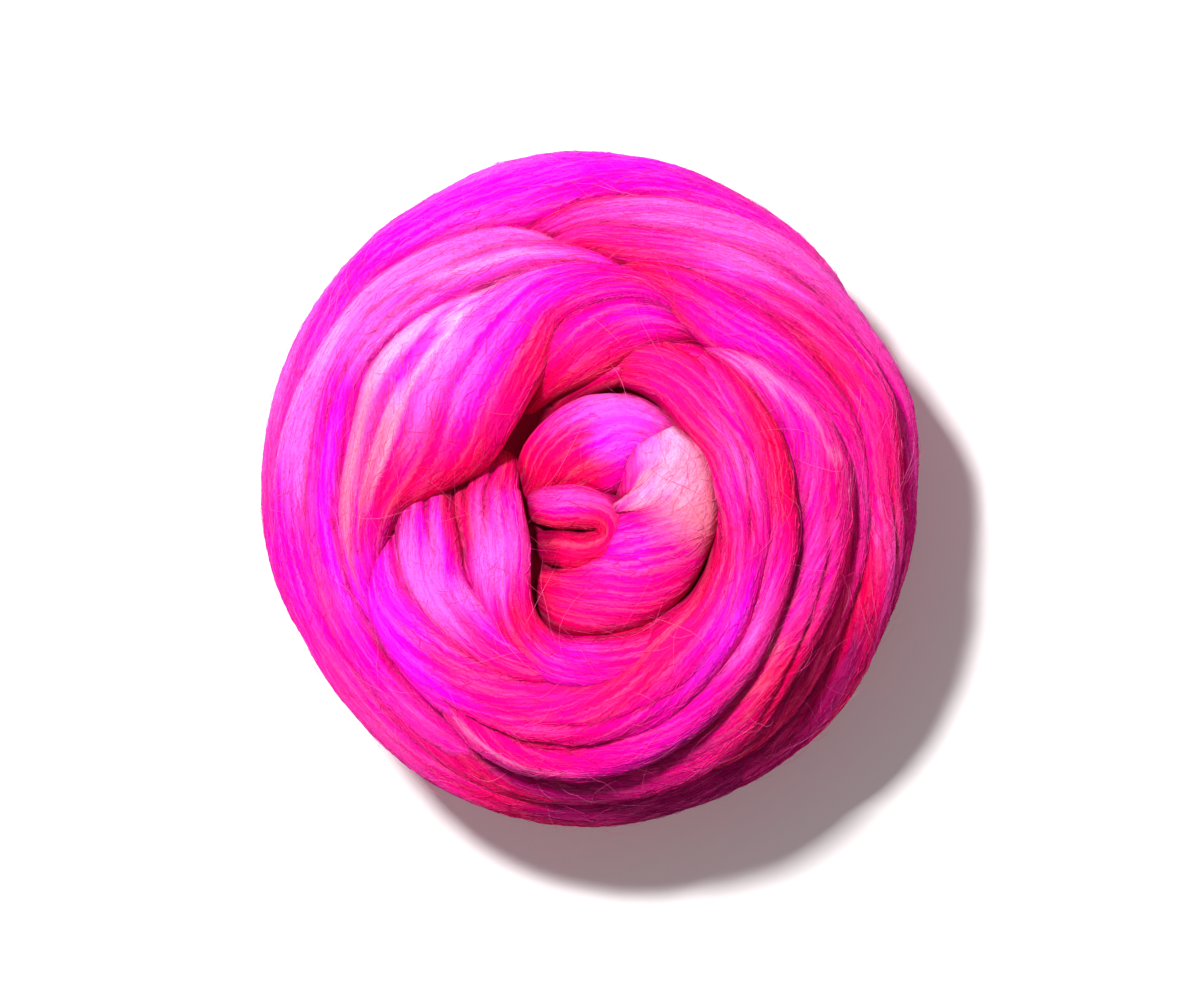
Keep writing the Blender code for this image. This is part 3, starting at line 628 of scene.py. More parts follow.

# Streaks of colour along a lap: a shade, and rows of a turn, a place across, a share and a width.
# The crimson streaks that follow the folds of the lobe and the inner leaf are painted shade in
# those folds
STREAKS = {
    "lobe": (
        ("lilac", ((100, 0.5, 0, 3), (118, 0.45, 0.7, 5), (132, 0.05, 0.8, 7),
            (146, -0.1, 0.7, 7), (162, -0.2, 0.3, 5), (172, -0.3, 0, 4))),
        ("pale", ((94, 0.8, 0, 1.8), (104, 0.85, 0.7, 2.4), (112, 0.85, 0.9, 3),
            (122, 0.61, 0.9, 3.8), (131, 0.24, 0.9, 4.2), (144, 0.13, 0.85, 4.6),
            (157, 0.13, 0.4, 4), (167, 0.04, 0, 3))),
        ("pale", ((124, 0.92, 0, 3), (138, 0.66, 0.9, 5), (148, 0.68, 0.9, 6),
            (159, 0.70, 0.6, 6), (170, 0.66, 0.2, 4), (180, 0.6, 0, 3))),
        ("blush", ((134, 0.1, 0, 2), (148, 0.08, 0.6, 3.5), (160, 0.06, 0.8, 4.5),
            (174, -0.02, 0.8, 4.5), (188, -0.15, 0, 3))),
        ("blush", ((144, 0.7, 0, 3), (158, 0.66, 0.7, 5), (172, 0.6, 0.9, 6.5),
            (186, 0.45, 0.7, 6), (202, 0.3, 0, 4))),
        ("magenta", ((128, 0.5, 0, 1.5), (138, 0.42, 0.6, 2), (152, 0.4, 0.6, 2),
            (166, 0.35, 0.4, 2), (180, 0.2, 0, 1.5))),
        # painted shade along the lobe's fold
        ("crimson", ((122, 0.85, 0, 1.2), (131, 0.52, 0.5, 1.3), (144, 0.36, 0.6, 1.4),
            (160, 0.37, 0.5, 1.4), (178, 0.2, 0, 1.2))),
    ),
    "ring_outer": (
        ("pale", ((46, 0.1, 0, 1.2), (36, 0, 0.35, 1.8), (24, -0.1, 0.4, 2), (10, 0.16, 0.4, 2),
            (0, 0.5, 0.3, 1.8), (-8, 0.8, 0, 1.2))),
        ("blush", ((-26, -0.55, 0, 1.2), (-35, -0.4, 0.6, 1.8), (-44, -0.22, 0.5, 1.8),
            (-54, 0, 0, 1.2))),
    ),
    "valley": (
        ("lilac", ((6, -0.4, 0, 1.2), (-2, 0.2, 0.6, 2), (-9, 0.7, 0, 1.5))),
    ),
    "shoulder_inner": (
        ("lilac", ((0, -0.9, 0, 1.2), (-8, -0.47, 0.7, 2), (-18, -0.2, 0.5, 2.4), (-34, 0, 0, 2))),
        ("lilac", ((72, 0.3, 0, 1.2), (58, 0.2, 0.7, 2.4), (44, 0, 0.5, 2.8), (28, -0.1, 0, 2))),
    ),
    "shoulder_outer": (
        ("lilac", ((84, 0.3, 0, 1.2), (66, 0.3, 0.7, 2), (46, 0.1, 0.5, 2.8), (20, 0.4, 0.6, 3),
            (0, 0.6, 0, 2))),
    ),
    "rim": (
        ("lilac", ((70, 0.2, 0, 2), (90, 0.35, 0.7, 3), (110, 0.3, 0.6, 3), (130, 0.1, 0.7, 3),
            (150, 0.1, 0.5, 3), (170, 0.2, 0, 2))),
        ("violet", ((70, -0.4, 0, 2.5), (86, -0.45, 0.9, 5), (110, -0.3, 0.9, 5),
            (126, -0.35, 0.6, 4), (140, -0.4, 0, 3))),
    ),
    "left_inner": (
        ("pale", ((92, 0, 0, 1.2), (104, 0.1, 0.4, 1.8), (118, 0.2, 0.5, 2.2),
            (134, 0.3, 0, 1.8))),
        ("violet", ((150, -0.4, 0, 2), (170, -0.2, 0.6, 3), (190, -0.3, 0.8, 3.5),
            (210, -0.4, 0.8, 4), (224, -0.3, 0, 3))),
    ),
    "left_outer": (
        ("pale", ((120, 0.2, 0, 1.5), (136, 0.2, 0.4, 2.4), (152, 0, 0.5, 3), (170, 0.2, 0.3, 3),
            (184, 0.3, 0, 2))),
        ("magenta", ((176, -0.2, 0, 2), (196, -0.1, 0.8, 5), (212, 0, 0.6, 5), (228, 0.1, 0, 3))),
    ),
    "ring_fan": (
        ("violet", ((200, 0.4, 0, 2), (214, 0.3, 0.9, 4.5), (230, 0.2, 0.7, 5), (246, 0.3, 0, 3))),
        ("rose", ((236, -0.3, 0, 1.5), (252, -0.1, 0.4, 2.2), (270, 0, 0.4, 2.6),
            (290, 0.2, 0, 2))),
        ("violet", ((282, 0.1, 0, 2), (300, 0.3, 0.6, 4), (322, 0.2, 0.7, 4.5), (344, 0.1, 0, 3))),
        ("lilac", ((350, 0, 0, 1.5), (366, -0.1, 0.7, 3), (384, -0.2, 0.4, 3), (396, -0.2, 0, 2))),
    ),
    "ring_edge": (
        ("pale", ((-88, 0, 0, 1.2), (-100, 0.1, 0.5, 1.8), (-112, 0.2, 0.5, 1.8),
            (-126, 0.2, 0, 1.2))),
    ),
    "leaf_outer": (
        ("lilac", ((186, 0.2, 0, 1.5), (200, 0.3, 0.7, 3), (214, 0.3, 0.8, 3.2),
            (230, 0.2, 0, 2))),
        ("violet", ((178, -0.5, 0, 1.5), (196, -0.6, 0.8, 2.4), (214, -0.7, 0.6, 2.4),
            (228, -0.6, 0, 2))),
    ),
    "leaf_inner": (
        ("lilac", ((176, 0, 0, 1.5), (192, -0.2, 0.5, 3.5), (210, -0.3, 0.6, 3.5),
            (226, -0.3, 0, 2.5))),
        # painted shade along the inner leaf's second fold
        ("crimson", ((158, 0.4, 0.5, 2), (172, 0.5, 0.8, 2.2), (188, 0.55, 0.7, 2),
            (206, 0.6, 0, 1.6))),
    ),
    "coil_bulge": (
        ("rose", ((56, 0.2, 0, 1.5), (40, 0, 0.5, 2.5), (20, -0.1, 0.5, 3), (-4, 0, 0, 2))),
        ("magenta", ((-18, -0.3, 0, 2), (-34, -0.3, 0.9, 4), (-52, -0.2, 0.8, 4),
            (-72, -0.1, 0, 2.5))),
    ),
    "coil_back": (
        ("lilac", ((132, 0.6, 0, 1.5), (114, 0.6, 0.6, 2.4), (92, 0.65, 0.8, 3),
            (66, 0.6, 0.5, 3), (50, 0.5, 0, 2))),
        ("violet", ((104, 0.2, 0, 1.5), (92, 0.15, 0.9, 2.8), (76, 0.1, 0.9, 3.2),
            (58, 0.1, 0, 2))),
        ("crimson", ((130, -0.2, 0.3, 2.5), (112, -0.3, 0.7, 4), (94, -0.4, 0.6, 4),
            (76, -0.5, 0, 3))),
    ),
}


def smooth_rows(rows, count):
    """Values on a smooth curve through the rows, at even steps along it."""
    rows = np.array(rows, dtype=float)
    before = 2.0 * rows[0] - rows[1]
    after = 2.0 * rows[-1] - rows[-2]
    held = np.vstack([before, rows, after])
    pieces = np.linspace(0.0, len(rows) - 1.0, count)
    start = np.minimum(pieces.astype(int), len(rows) - 2)
    t = (pieces - start)[:, None]
    a, b, c, d = held[start], held[start + 1], held[start + 2], held[start + 3]
    return 0.5 * (2.0 * b + (c - a) * t + (2.0 * a - 5.0 * b + 4.0 * c - d) * t ** 2
                  + (3.0 * b - a - 3.0 * c + d) * t ** 3)


def summed(steps):
    """The running sum of steps, from 0."""
    return np.concatenate([[0.0], np.cumsum(steps)])


def unit(vectors, least=NO_STEP):
    """Vectors made one long."""
    return vectors / np.maximum(np.linalg.norm(vectors, axis=-1, keepdims=True), least)


def meridian():
    """The skin's profile from crown to base: distance over the skin, radius, height, normal."""
    angle = np.radians(np.linspace(90.0, -90.0, SKIN_STEPS + 1))
    power = 2.0 / SKIN_POWER
    radius = WAIST_RADIUS * np.abs(np.cos(angle)) ** power
    rise = np.sign(np.sin(angle)) * np.abs(np.sin(angle)) ** power
    height = WAIST_HEIGHT + rise * np.where(rise > 0.0, CROWN_RISE, BASE_DROP)
    out = summed(np.hypot(np.diff(radius), np.diff(height)))
    run, drop = np.gradient(radius, out), np.gradient(height, out)
    return out, radius, height, -drop, run


MERIDIAN = meridian()
FULL_REACH = MERIDIAN[0][-1]


def skin_points(east, north, height):
    """Points in space for places on the map (mm from the crown) and heights above the skin."""
    out, radius, level, normal_out, normal_up = MERIDIAN
    reach = np.maximum(np.hypot(east, north), NO_REACH)
    turn = np.degrees(np.arctan2(north, east)) % 360.0
    outline = np.interp(turn, [o.turn for o in OUTLINE], [o.radius for o in OUTLINE])
    ring = np.interp(reach, out, radius) * outline / WAIST_RADIUS
    ring = ring + np.interp(reach, out, normal_out) * height
    up = np.interp(reach, out, level) + np.interp(reach, out, normal_up) * height
    return np.stack([AXIS_X + ring * east / reach, AXIS_Y + ring * north / reach, up], axis=-1)


def lap_stations(lap, pitch):
    """Even stations along a lap: map place, the section's values, and unit vector across it."""
    hub_east, hub_north = HUBS[lap.hub]
    fine = smooth_rows(lap.sections, CURVE_STEPS * len(lap.sections))
    angle = np.radians(fine[:, 0])
    east = hub_east + fine[:, 1] * np.cos(angle)
    north = hub_north + fine[:, 1] * np.sin(angle)
    along = summed(np.hypot(np.diff(east), np.diff(north)))
    count = max(FEWEST_STATIONS, int(along[-1] / pitch) + 1)
    even = np.linspace(0.0, along[-1], count)
    values = np.stack([np.interp(even, along, column)
                       for column in (east, north, *fine[:, 2:].T, fine[:, 0])], axis=-1)
    ahead = unit(np.gradient(values[:, :2], axis=0))
    hand = 1.0 if lap.sections[-1].turn > lap.sections[0].turn else -1.0
    return values, np.stack([ahead[:, 1], -ahead[:, 0]], axis=-1) * hand


def on_crown_map(hub, east, north):
    """Places on a hub's own map as places on the crown's map; the base's map is its mirror."""
    if hub != "base":
        return east, north
    reach = np.maximum(np.hypot(east, north), NO_REACH)
    return east * (FULL_REACH / reach - 1.0), north * (FULL_REACH / reach - 1.0)


def plain_section(run, turn, out, tucked):
    """A section of a plain lap, sunk and thinned where the lap's end is tucked in."""
    if tucked:
        return Section(turn, out, TUCKED_LIFT,
                       TUCKED_SHARE * run.width, TUCKED_SHARE * run.thickness)
    return Section(turn, out, PLAIN_LIFT, run.width, run.thickness)


def plain_laps():
    """The laps round the lower side and across the underside."""
    laps = []
    steps = int(LAP_REACH / LAP_STEP)
    for run in PLAIN_RUNS:
        for index in range(run.count):
            share = index / (run.count - 1.0)
            middle = run.first_out + share * (run.last_out - run.first_out)
            start = index * LAP_ADVANCE
            sections = []
            for step in range(steps + 1):
                turn = start + step * LAP_STEP
                out = middle + run.tilt * math.sin(math.radians(turn + start))
                sections.append(plain_section(run, turn, out, step in (0, steps)))
            laps.append(Lap(f"{run.name}_{index + 1}", run.hub, SOFT, tuple(sections)))
    return laps


class RovingWool(bpy.types.PropertyGroup):
    """Sizes of the wool's relief and of its fibres."""
    lock_depth: bpy.props.FloatProperty(
        name="Lock depth", description="Depth of the partings between two locks",
        default=0.0006, min=0.0, max=0.004, unit="LENGTH")
    strand_depth: bpy.props.FloatProperty(
        name="Strand depth", description="Depth of the fine partings within a lock",
        default=0.0001, min=0.0, max=0.002, unit="LENGTH")
    combed_radius: bpy.props.FloatProperty(
        name="Combed radius", description="Radius of a fibre that lies along a lap",
        default=0.000075, min=0.00001, max=0.001, unit="LENGTH")
    combed_cover: bpy.props.FloatProperty(
        name="Combed cover", description="Combed fibres tried on each square millimetre",
        default=0.28, min=0.0, max=2.0)
    ruffled_radius: bpy.props.FloatProperty(
        name="Ruffled radius", description="Radius of a short fibre that strays from the lay",
        default=0.00006, min=0.00001, max=0.001, unit="LENGTH")
    ruffled_cover: bpy.props.FloatProperty(
        name="Ruffled cover", description="Ruffled fibres tried on each square millimetre",
        default=0.15, min=0.0, max=2.0)
    lower_share: bpy.props.FloatProperty(
        name="Share below", description="Share of that cover on the laps of the lower side",
        default=0.09, min=0.0, max=1.0, subtype="FACTOR")
    stray_count: bpy.props.IntProperty(
        name="Loose fibres", description="How many fibres stand off the laps", default=900, min=1)
    stray_radius: bpy.props.FloatProperty(
        name="Loose fibre radius", description="Radius of a loose fibre",
        default=0.00004, min=0.00001, max=0.001, unit="LENGTH")


class RovingShades(bpy.types.PropertyGroup):
    """The dye's shades, with the dark red that is painted shade and the dark purple that is partly
    painted shade.
    """
    magenta: bpy.props.FloatVectorProperty(
        name="Magenta", description="Bright purple-pink", default=(0.95, 0.0015, 0.50),
        subtype="COLOR", min=0.0, max=1.0)
    violet: bpy.props.FloatVectorProperty(
        name="Violet", description="Brightest purple", default=(0.92, 0.006, 0.80),
        subtype="COLOR", min=0.0, max=1.0)
    lilac: bpy.props.FloatVectorProperty(
        name="Lilac", description="Pale purple-pink", default=(0.95, 0.10, 0.62),
        subtype="COLOR", min=0.0, max=1.0)
    rose: bpy.props.FloatVectorProperty(
        name="Rose", description="Light pink", default=(0.95, 0.022, 0.38),
        subtype="COLOR", min=0.0, max=1.0)
    pink: bpy.props.FloatVectorProperty(
        name="Pink", description="Hot pink, the main shade", default=(0.95, 0.001, 0.25),
        subtype="COLOR", min=0.0, max=1.0)
    crimson: bpy.props.FloatVectorProperty(
        name="Crimson", description="Deep red-pink", default=(0.88, 0.0005, 0.10),
        subtype="COLOR", min=0.0, max=1.0)
    pale: bpy.props.FloatVectorProperty(
        name="Pale", description="Almost white pink", default=(0.96, 0.36, 0.68),
        subtype="COLOR", min=0.0, max=1.0)
    blush: bpy.props.FloatVectorProperty(
        name="Blush", description="Pale orange-pink", default=(0.97, 0.20, 0.34),
        subtype="COLOR", min=0.0, max=1.0)
    # Painted shade: the dark red of the creases, of the wound mass and of the hook's tucked end
    deep: bpy.props.FloatVectorProperty(
        name="Deep", description="Dark red deep in the creases", default=(0.30, 0.0005, 0.04),
        subtype="COLOR", min=0.0, max=1.0)
    # Dark purple: a dye shade on the plain laps, and painted shade on the side away from the light
    # and in creases
    plum: bpy.props.FloatVectorProperty(
        name="Plum", description="Dull dark purple", default=(0.42, 0.003, 0.13),
        subtype="COLOR", min=0.0, max=1.0)


class RovingStage(bpy.types.PropertyGroup):
    """The floor, the light and the camera."""
    floor_colour: bpy.props.FloatVectorProperty(
        name="Floor", description="Colour of the plain floor", default=(0.80, 0.79, 0.79),
        subtype="COLOR", min=0.0, max=1.0)
    key_power: bpy.props.FloatProperty(
        name="Key light", description="Power of the main light", default=15.0, min=0.0,
        subtype="POWER")
    fill_strength: bpy.props.FloatProperty(
        name="Fill", description="Strength of the soft light from all sides", default=0.36,
        min=0.0)
    camera_height: bpy.props.FloatProperty(
        name="Camera height", description="Height of the camera over the floor",
        default=0.896, min=0.2, unit="LENGTH")
    lens: bpy.props.FloatProperty(
        name="Lens", description="Focal length in millimetres", default=100.0, min=20.0,
        unit="CAMERA")


def lattice_noise(x, y, seed):
    """Smooth noise from -1 to 1 over a lattice of unit cells."""
    values = np.random.default_rng(seed).uniform(-1.0, 1.0, (NOISE_CELLS, NOISE_CELLS))
    column, row = np.floor(x).astype(int), np.floor(y).astype(int)
    s, t = x - column, y - row
    s, t = s * s * (3.0 - 2.0 * s), t * t * (3.0 - 2.0 * t)
    column, row = column % NOISE_CELLS, row % NOISE_CELLS
    after, above = (column + 1) % NOISE_CELLS, (row + 1) % NOISE_CELLS
    low = values[column, row] * (1.0 - s) + values[after, row] * s
    high = values[column, above] * (1.0 - s) + values[after, above] * s
    return low * (1.0 - t) + high * t


def rounded_locks(lay, run, width, seed):
    """1 on the crest of a lock and 0 in the parting between two, for places in the lay."""
    wave = np.abs(lattice_noise(lay[..., 0] / run, lay[..., 1] / width, seed))
    crest = np.minimum(wave / PARTING_REACH, 1.0)
    return crest * (2.0 - crest)


def lap_lay(lap):
    """How the wool lies in a lap."""
    return LAYS.get(lap.name, PLAIN_LAY)


def lay_slant(lap, along):
    """The wool's slant off the lap's run, in radians, at places along the lap."""
    lay = lap_lay(lap)
    return np.radians(lay.first + (lay.last - lay.first) * along / along.max())


def lay_places(along, around, slant):
    """Places along and across the wool's own lay, for a lap's grid."""
    step = np.diff(along, prepend=0.0)
    over = around - 0.5 * around[-1]
    run = np.cumsum(step * np.cos(slant))[:, None] + over * np.sin(slant)[:, None]
    beside = over * np.cos(slant)[:, None] - np.cumsum(step * np.sin(slant))[:, None]
    return np.stack([run, beside], axis=-1)


def traced(rows, turn, side, width):
    """The amount of a fold or streak at places on a lap, fading out to both of its sides."""
    rows = np.array(sorted(rows))
    across, amount, wide = (np.interp(turn, rows[:, 0], rows[:, part]) for part in (1, 2, 3))
    outside = (turn < rows[0, 0]) | (turn > rows[-1, 0])
    return np.where(outside, 0.0, amount) * np.exp(-((side - across) * width / wide) ** 2)


def folded(lap, turn, side, width):
    """Depth of a lap's folds, in millimetres, at every point of its grid."""
    depth = np.zeros((len(turn), len(side)))
    for fold in FOLDS.get(lap.name, ()):
        depth = depth + traced(fold, turn[:, None], side, width[:, None])
    return depth


@lru_cache(maxsize=None)
def lap_surface(lap, index, lock_depth, strand_depth):
    """The lap's skin, parted into locks and held at the table."""
    plain = lap not in LAPS
    values, across = lap_stations(lap, PLAIN_PITCH if plain else LAP_PITCH)
    east, north, lift, width, thickness, lean, turn = values.T
    along = summed(np.hypot(np.diff(east), np.diff(north)))
    nearest_end = np.minimum(along, along[-1] - along)
    rounding = np.sqrt(np.clip(nearest_end / (END_ROUNDING * width), 0.0, 1.0))
    share = np.linspace(0.0, 1.0, (PLAIN_SIDES if plain else LAP_SIDES) + 1)
    angle = FULL_TURN * share - 0.5 * math.pi + CROWDING * np.sin(FULL_TURN * share)
    side = np.cos(angle)
    rise = np.sign(np.sin(angle)) * np.abs(np.sin(angle)) ** (2.0 * lap.edge)
    around = summed(np.hypot(0.5 * width.mean() * np.diff(side),
                             0.5 * thickness.mean() * np.diff(rise)))
    slant = lay_slant(lap, along)
    lay = lay_places(along, around, slant) + index * LAP_SHIFT
    depth = lap_lay(lap).relief * (np.minimum(1.0, width / FULL_DEPTH_WIDTH) * rounding)[:, None]
    locks = rounded_locks(lay, LOCK_RUN, LOCK_WIDTH, LOCK_SEED)
    strands = rounded_locks(lay, STRAND_RUN, STRAND_WIDTH, STRAND_SEED)
    relief = -depth * (lock_depth * (1.0 - locks) + strand_depth * (1.0 - strands))
    relief = relief - folded(lap, turn, side, width)
    offset = 0.5 * (width * rounding)[:, None] * side + relief * side
    height = (lift - 0.5 * thickness)[:, None] \
        + 0.5 * (thickness * rounding)[:, None] * rise + relief * rise \
        + offset * np.tan(np.radians(lean))[:, None]
    places = on_crown_map(lap.hub, east[:, None] + offset * across[:, 0:1],
                          north[:, None] + offset * across[:, 1:2])
    points = skin_points(*places, height)
    points[..., 2] = np.maximum(points[..., 2], index * TABLE_GAP)
    normals = np.cross(np.gradient(points, axis=0), np.gradient(points, axis=1))
    outward = points - points.mean(axis=1, keepdims=True)
    normals = unit(normals * np.sign((normals * outward).sum()))
    return Surface(points * MM, normals, turn, width, along, around, side, rise, lay * MM)


def all_laps():
    """Every lap of the ball with its number."""
    return list(enumerate((*LAPS, *plain_laps()), start=1))


def surfaces(wool):
    """Every lap's number, row and skin."""
    depths = wool.lock_depth / MM, wool.strand_depth / MM
    return [(index, lap, lap_surface(lap, index, *depths)) for index, lap in all_laps()]


@lru_cache(maxsize=None)
def cover_tree(lock_depth, strand_depth):
    """All laps as one search tree, to ask what lies over a point."""
    points, faces, start = [], [], 0
    for index, lap in all_laps():
        surface = lap_surface(lap, index, lock_depth, strand_depth)
        rows, columns = surface.points.shape[:2]
        corner = np.arange(rows * columns).reshape(rows, columns)[:-1, :-1].ravel() + start
        faces.append(np.stack([corner, corner + 1, corner + columns + 1, corner + columns], 1))
        points.append(surface.points.reshape(-1, 3))
        start += rows * columns
    return BVHTree.FromPolygons(np.vstack(points).tolist(), np.vstack(faces).tolist())


def wool_cover(wool):
    """The search tree for the present sizes."""
    return cover_tree(wool.lock_depth / MM, wool.strand_depth / MM)


def distance_over(tree, points, normals, start, reach):
    """How far the next wool is over each point, up to a reach, all in millimetres."""
    found = np.full(len(points), reach)
    for number, (point, normal) in enumerate(zip(points, normals)):
        place, direction = Vector(point), Vector(normal)
        hit = tree.ray_cast(place + direction * start * MM, direction, reach * MM)
        if hit[3] is not None:
            found[number] = hit[3] / MM
    return found


def shade(shades, name):
    """A named shade as an array."""
    return np.array(getattr(shades, name))


def mixed(colours, other, amount):
    """Colours moved towards another by an amount for each."""
    return colours + (other - colours) * amount[..., None]


def painted_crease_shade(surface, tree):
    """How much painted shade each point of a lap takes, by how far down in a crease it lies, from
    0 in the open to 1.
    """
    normals = surface.normals.reshape(-1, 3)
    beside = unit(np.cross(normals, ASKEW))
    ahead = np.cross(normals, beside)
    lean = math.radians(SHELTER_LEAN)
    free = 0.0
    for turn in np.arange(SHELTER_RAYS) * FULL_TURN / SHELTER_RAYS:
        aside = math.cos(turn) * beside + math.sin(turn) * ahead
        rays = math.cos(lean) * normals + math.sin(lean) * aside
        free = free + distance_over(tree, surface.points.reshape(-1, 3), rays, SHELTER_START,
                                    SHELTER_REACH) / (SHELTER_RAYS * SHELTER_REACH)
    closed = np.clip((1.0 - free) / SHELTER_FULL, 0.0, 1.0).reshape(surface.points.shape[:2])
    return closed * closed * (3.0 - 2.0 * closed)


def drawn_shades(rows, turn, across, shades):
    """Shades drawn out between a lap's rows, at turns and at places from edge to edge."""
    turns = [row.turn for row in rows]
    colours = 0.0
    for names, share in (((row.inner for row in rows), np.clip(-across, 0.0, 1.0)),
                         ((row.crest for row in rows), 1.0 - np.abs(across)),
                         ((row.outer for row in rows), np.clip(across, 0.0, 1.0))):
        band = np.array([shade(shades, name) for name in names])
        drawn = np.stack([np.interp(turn, turns, band[:, part]) for part in range(3)], axis=-1)
        colours = colours + drawn * share[..., None]
    return colours


def dyed_with_painted_shade(lap, index, surface, shades, tree):
    """The colour at every point of a lap: the dye drawn out along the lay of its wool, with
    painted shade in its creases.
    """
    run, beside = surface.lay[..., 0] / MM, surface.lay[..., 1] / MM
    drift = DRIFT * lattice_noise(run / DRIFT_RUN, beside / DRIFT_WIDTH, DRIFT_SEED) \
        + FINE_DRIFT * lattice_noise(run / FINE_RUN, beside / FINE_WIDTH, FINE_SEED)
    wander = TURN_DRIFT * lattice_noise(run / DRIFT_RUN, beside / FINE_WIDTH, TURN_SEED)
    turn = surface.turn[:, None] + wander
    across = np.clip((surface.side + drift) / EDGE_SHADE, -1.0, 1.0)
    rows = sorted(DYES.get(lap.name, PLAIN_DYES[index % len(PLAIN_DYES)]))
    colours = drawn_shades(rows, turn, across, shades)
    if lap.name not in DYES:
        left = np.minimum(turn - surface.turn[0], surface.turn[-1] - turn)
        ending = np.clip(1.0 - left / END_BLEND, 0.0, 1.0)
        colours = mixed(colours, shade(shades, "pink"), END_SHARE * ending)
    for name, streak in STREAKS.get(lap.name, ()):
        amount = traced(streak, turn, surface.side + STREAK_DRIFT * drift, surface.width[:, None])
        colours = mixed(colours, shade(shades, name), amount)
    # Painted shade: each colour is mixed towards dark red by how far down in a crease it lies
    return mixed(colours, shade(shades, "deep"), PAINTED_SHADE_SHARE * painted_crease_shade(surface, tree))


def add_grid(name, columns, rows):
    """A flat grid of faces, with each point's step along and across it."""
    bpy.ops.object.select_all(action="DESELECT")
    bpy.ops.mesh.primitive_grid_add(x_subdivisions=columns, y_subdivisions=rows, size=1.0)
    piece = bpy.context.object
    piece.name = piece.data.name = name
    places = point_places(piece)
    step = np.rint((places[:, 0] + 0.5) * columns).astype(int)
    turn = np.rint((places[:, 1] + 0.5) * rows).astype(int)
    return piece, step, turn


def point_places(piece):
    """The places of a piece's points."""
    places = np.empty(len(piece.data.vertices) * 3)
    piece.data.vertices.foreach_get("co", places)
    return places.reshape(-1, 3)


def colour_points(piece, colours):
    """The colour, dye with its painted shade, on every point of a piece."""
    layer = piece.data.attributes.new("dye", "FLOAT_COLOR", "POINT")
    layer.data.foreach_set("color", np.column_stack([colours, np.ones(len(colours))]).ravel())


def close_up(piece):
    """Joins the seam and the ends of a rolled grid, and turns its faces outwards."""
    bpy.ops.object.mode_set(mode="EDIT")
    bpy.ops.mesh.select_all(action="SELECT")
    bpy.ops.mesh.remove_doubles(threshold=WELD)
    bpy.ops.mesh.normals_make_consistent(inside=False)
    bpy.ops.object.mode_set(mode="OBJECT")
    piece.data.shade_smooth()


def finish_piece(piece, material):
    """Gives a piece its material and fixes it to the ball."""
    piece.data.materials.clear()
    piece.data.materials.append(material)
    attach(piece, BODY)
    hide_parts(NODE)


def add_lap(lap, surface, colours, material):
    """One lap: a grid rolled round the band's section and drawn out along its run."""
    stations, sides = surface.points.shape[:2]
    piece, step, turn = add_grid(f"lap_{lap.name}", stations - 1, sides - 1)
    piece.data.vertices.foreach_set("co", surface.points[step, turn].ravel())
    colour_points(piece, colours[step, turn])
    corners = np.empty(len(piece.data.loops), dtype=int)
    piece.data.loops.foreach_get("vertex_index", corners)
    uv = piece.data.uv_layers[0]
    uv.name = "lay"
    uv.data.foreach_set("uv", surface.lay[step, turn][corners].ravel())
    close_up(piece)
    finish_piece(piece, material)
    return piece


def between(grid, row, column):
    """Values read between the points of a grid."""
    row = np.clip(row, 0.0, grid.shape[0] - 1.001)
    column = np.clip(column, 0.0, grid.shape[1] - 1.001)
    r, c = row.astype(int), column.astype(int)
    s, t = (row - r)[..., None], (column - c)[..., None]
    near = grid[r, c] * (1.0 - s) + grid[r + 1, c] * s
    far = grid[r, c + 1] * (1.0 - s) + grid[r + 1, c + 1] * s
    return near * (1.0 - t) + far * t


def tube_points(paths, up, radius):
    """Three-sided rings of points round each path, the first side given twice."""
    ahead = unit(np.gradient(paths, axis=1), NO_FIBRE_STEP)
    beside = unit(np.cross(ahead, up), NO_FIBRE_STEP)
    over = np.cross(beside, ahead)
    angle = np.radians(TUBE_SPOKES)[:, None]
    spokes = np.cos(angle) * beside[:, :, None] + np.sin(angle) * over[:, :, None]
    return paths[:, :, None] + radius[:, :, None, None] * spokes


def add_fibres(name, paths, up, radius, colours, material):
    """Many fibres as one piece: a strip copied in a row, each copy rolled along its own path."""
    piece, step, turn = add_grid(name, paths.shape[1] - 1, len(TUBE_SPOKES) - 1)
    copies = piece.modifiers.new("copies", "ARRAY")
    copies.count = len(paths)
    bpy.ops.object.modifier_apply(modifier=copies.name)
    points = tube_points(paths, up, radius)[:, step, turn]
    piece.data.vertices.foreach_set("co", points.ravel())
    colour_points(piece, np.repeat(colours, len(step), axis=0))
    close_up(piece)
    finish_piece(piece, material)
    return piece


def grid_places(surface, along, around):
    """Rows and columns of a lap's grid, for places along and around the lap."""
    rows = np.arange(len(surface.along), dtype=float)
    columns = np.arange(len(surface.around), dtype=float)
    return np.interp(along, surface.along, rows), np.interp(around, surface.around, columns)


def open_places(surface, tree, cover, random):
    """Places on a lap's crest that no other lap covers: along, around, grid row and column."""
    crest = surface.around[surface.rise > 0.0]
    area = surface.along[-1] * (crest[-1] - crest[0])
    tried = int(cover * area)
    along = random.uniform(0.0, surface.along[-1], tried)
    around = random.uniform(crest[0], crest[-1], tried)
    row, column = grid_places(surface, along, around)
    over = distance_over(tree, between(surface.points, row, column),
                         between(surface.normals, row, column), COVER_START, COVER_REACH)
    shown = over >= COVER_REACH
    return along[shown], around[shown], row[shown], column[shown]


def map_paths(x, y, heading, reach, aside):
    """Paths on a map: each runs from its middle along its heading, and strays aside from it."""
    ahead, beside = np.cos(heading)[:, None], np.sin(heading)[:, None]
    return (x[:, None] + reach * ahead - aside * beside,
            y[:, None] + reach * beside + aside * ahead)


def tapered(girths, profile):
    """Thickness along each fibre, as shares of its radius, with both tips drawn to a point."""
    thickness = girths * profile
    thickness[:, 0] = thickness[:, -1] = 0.0
    return thickness


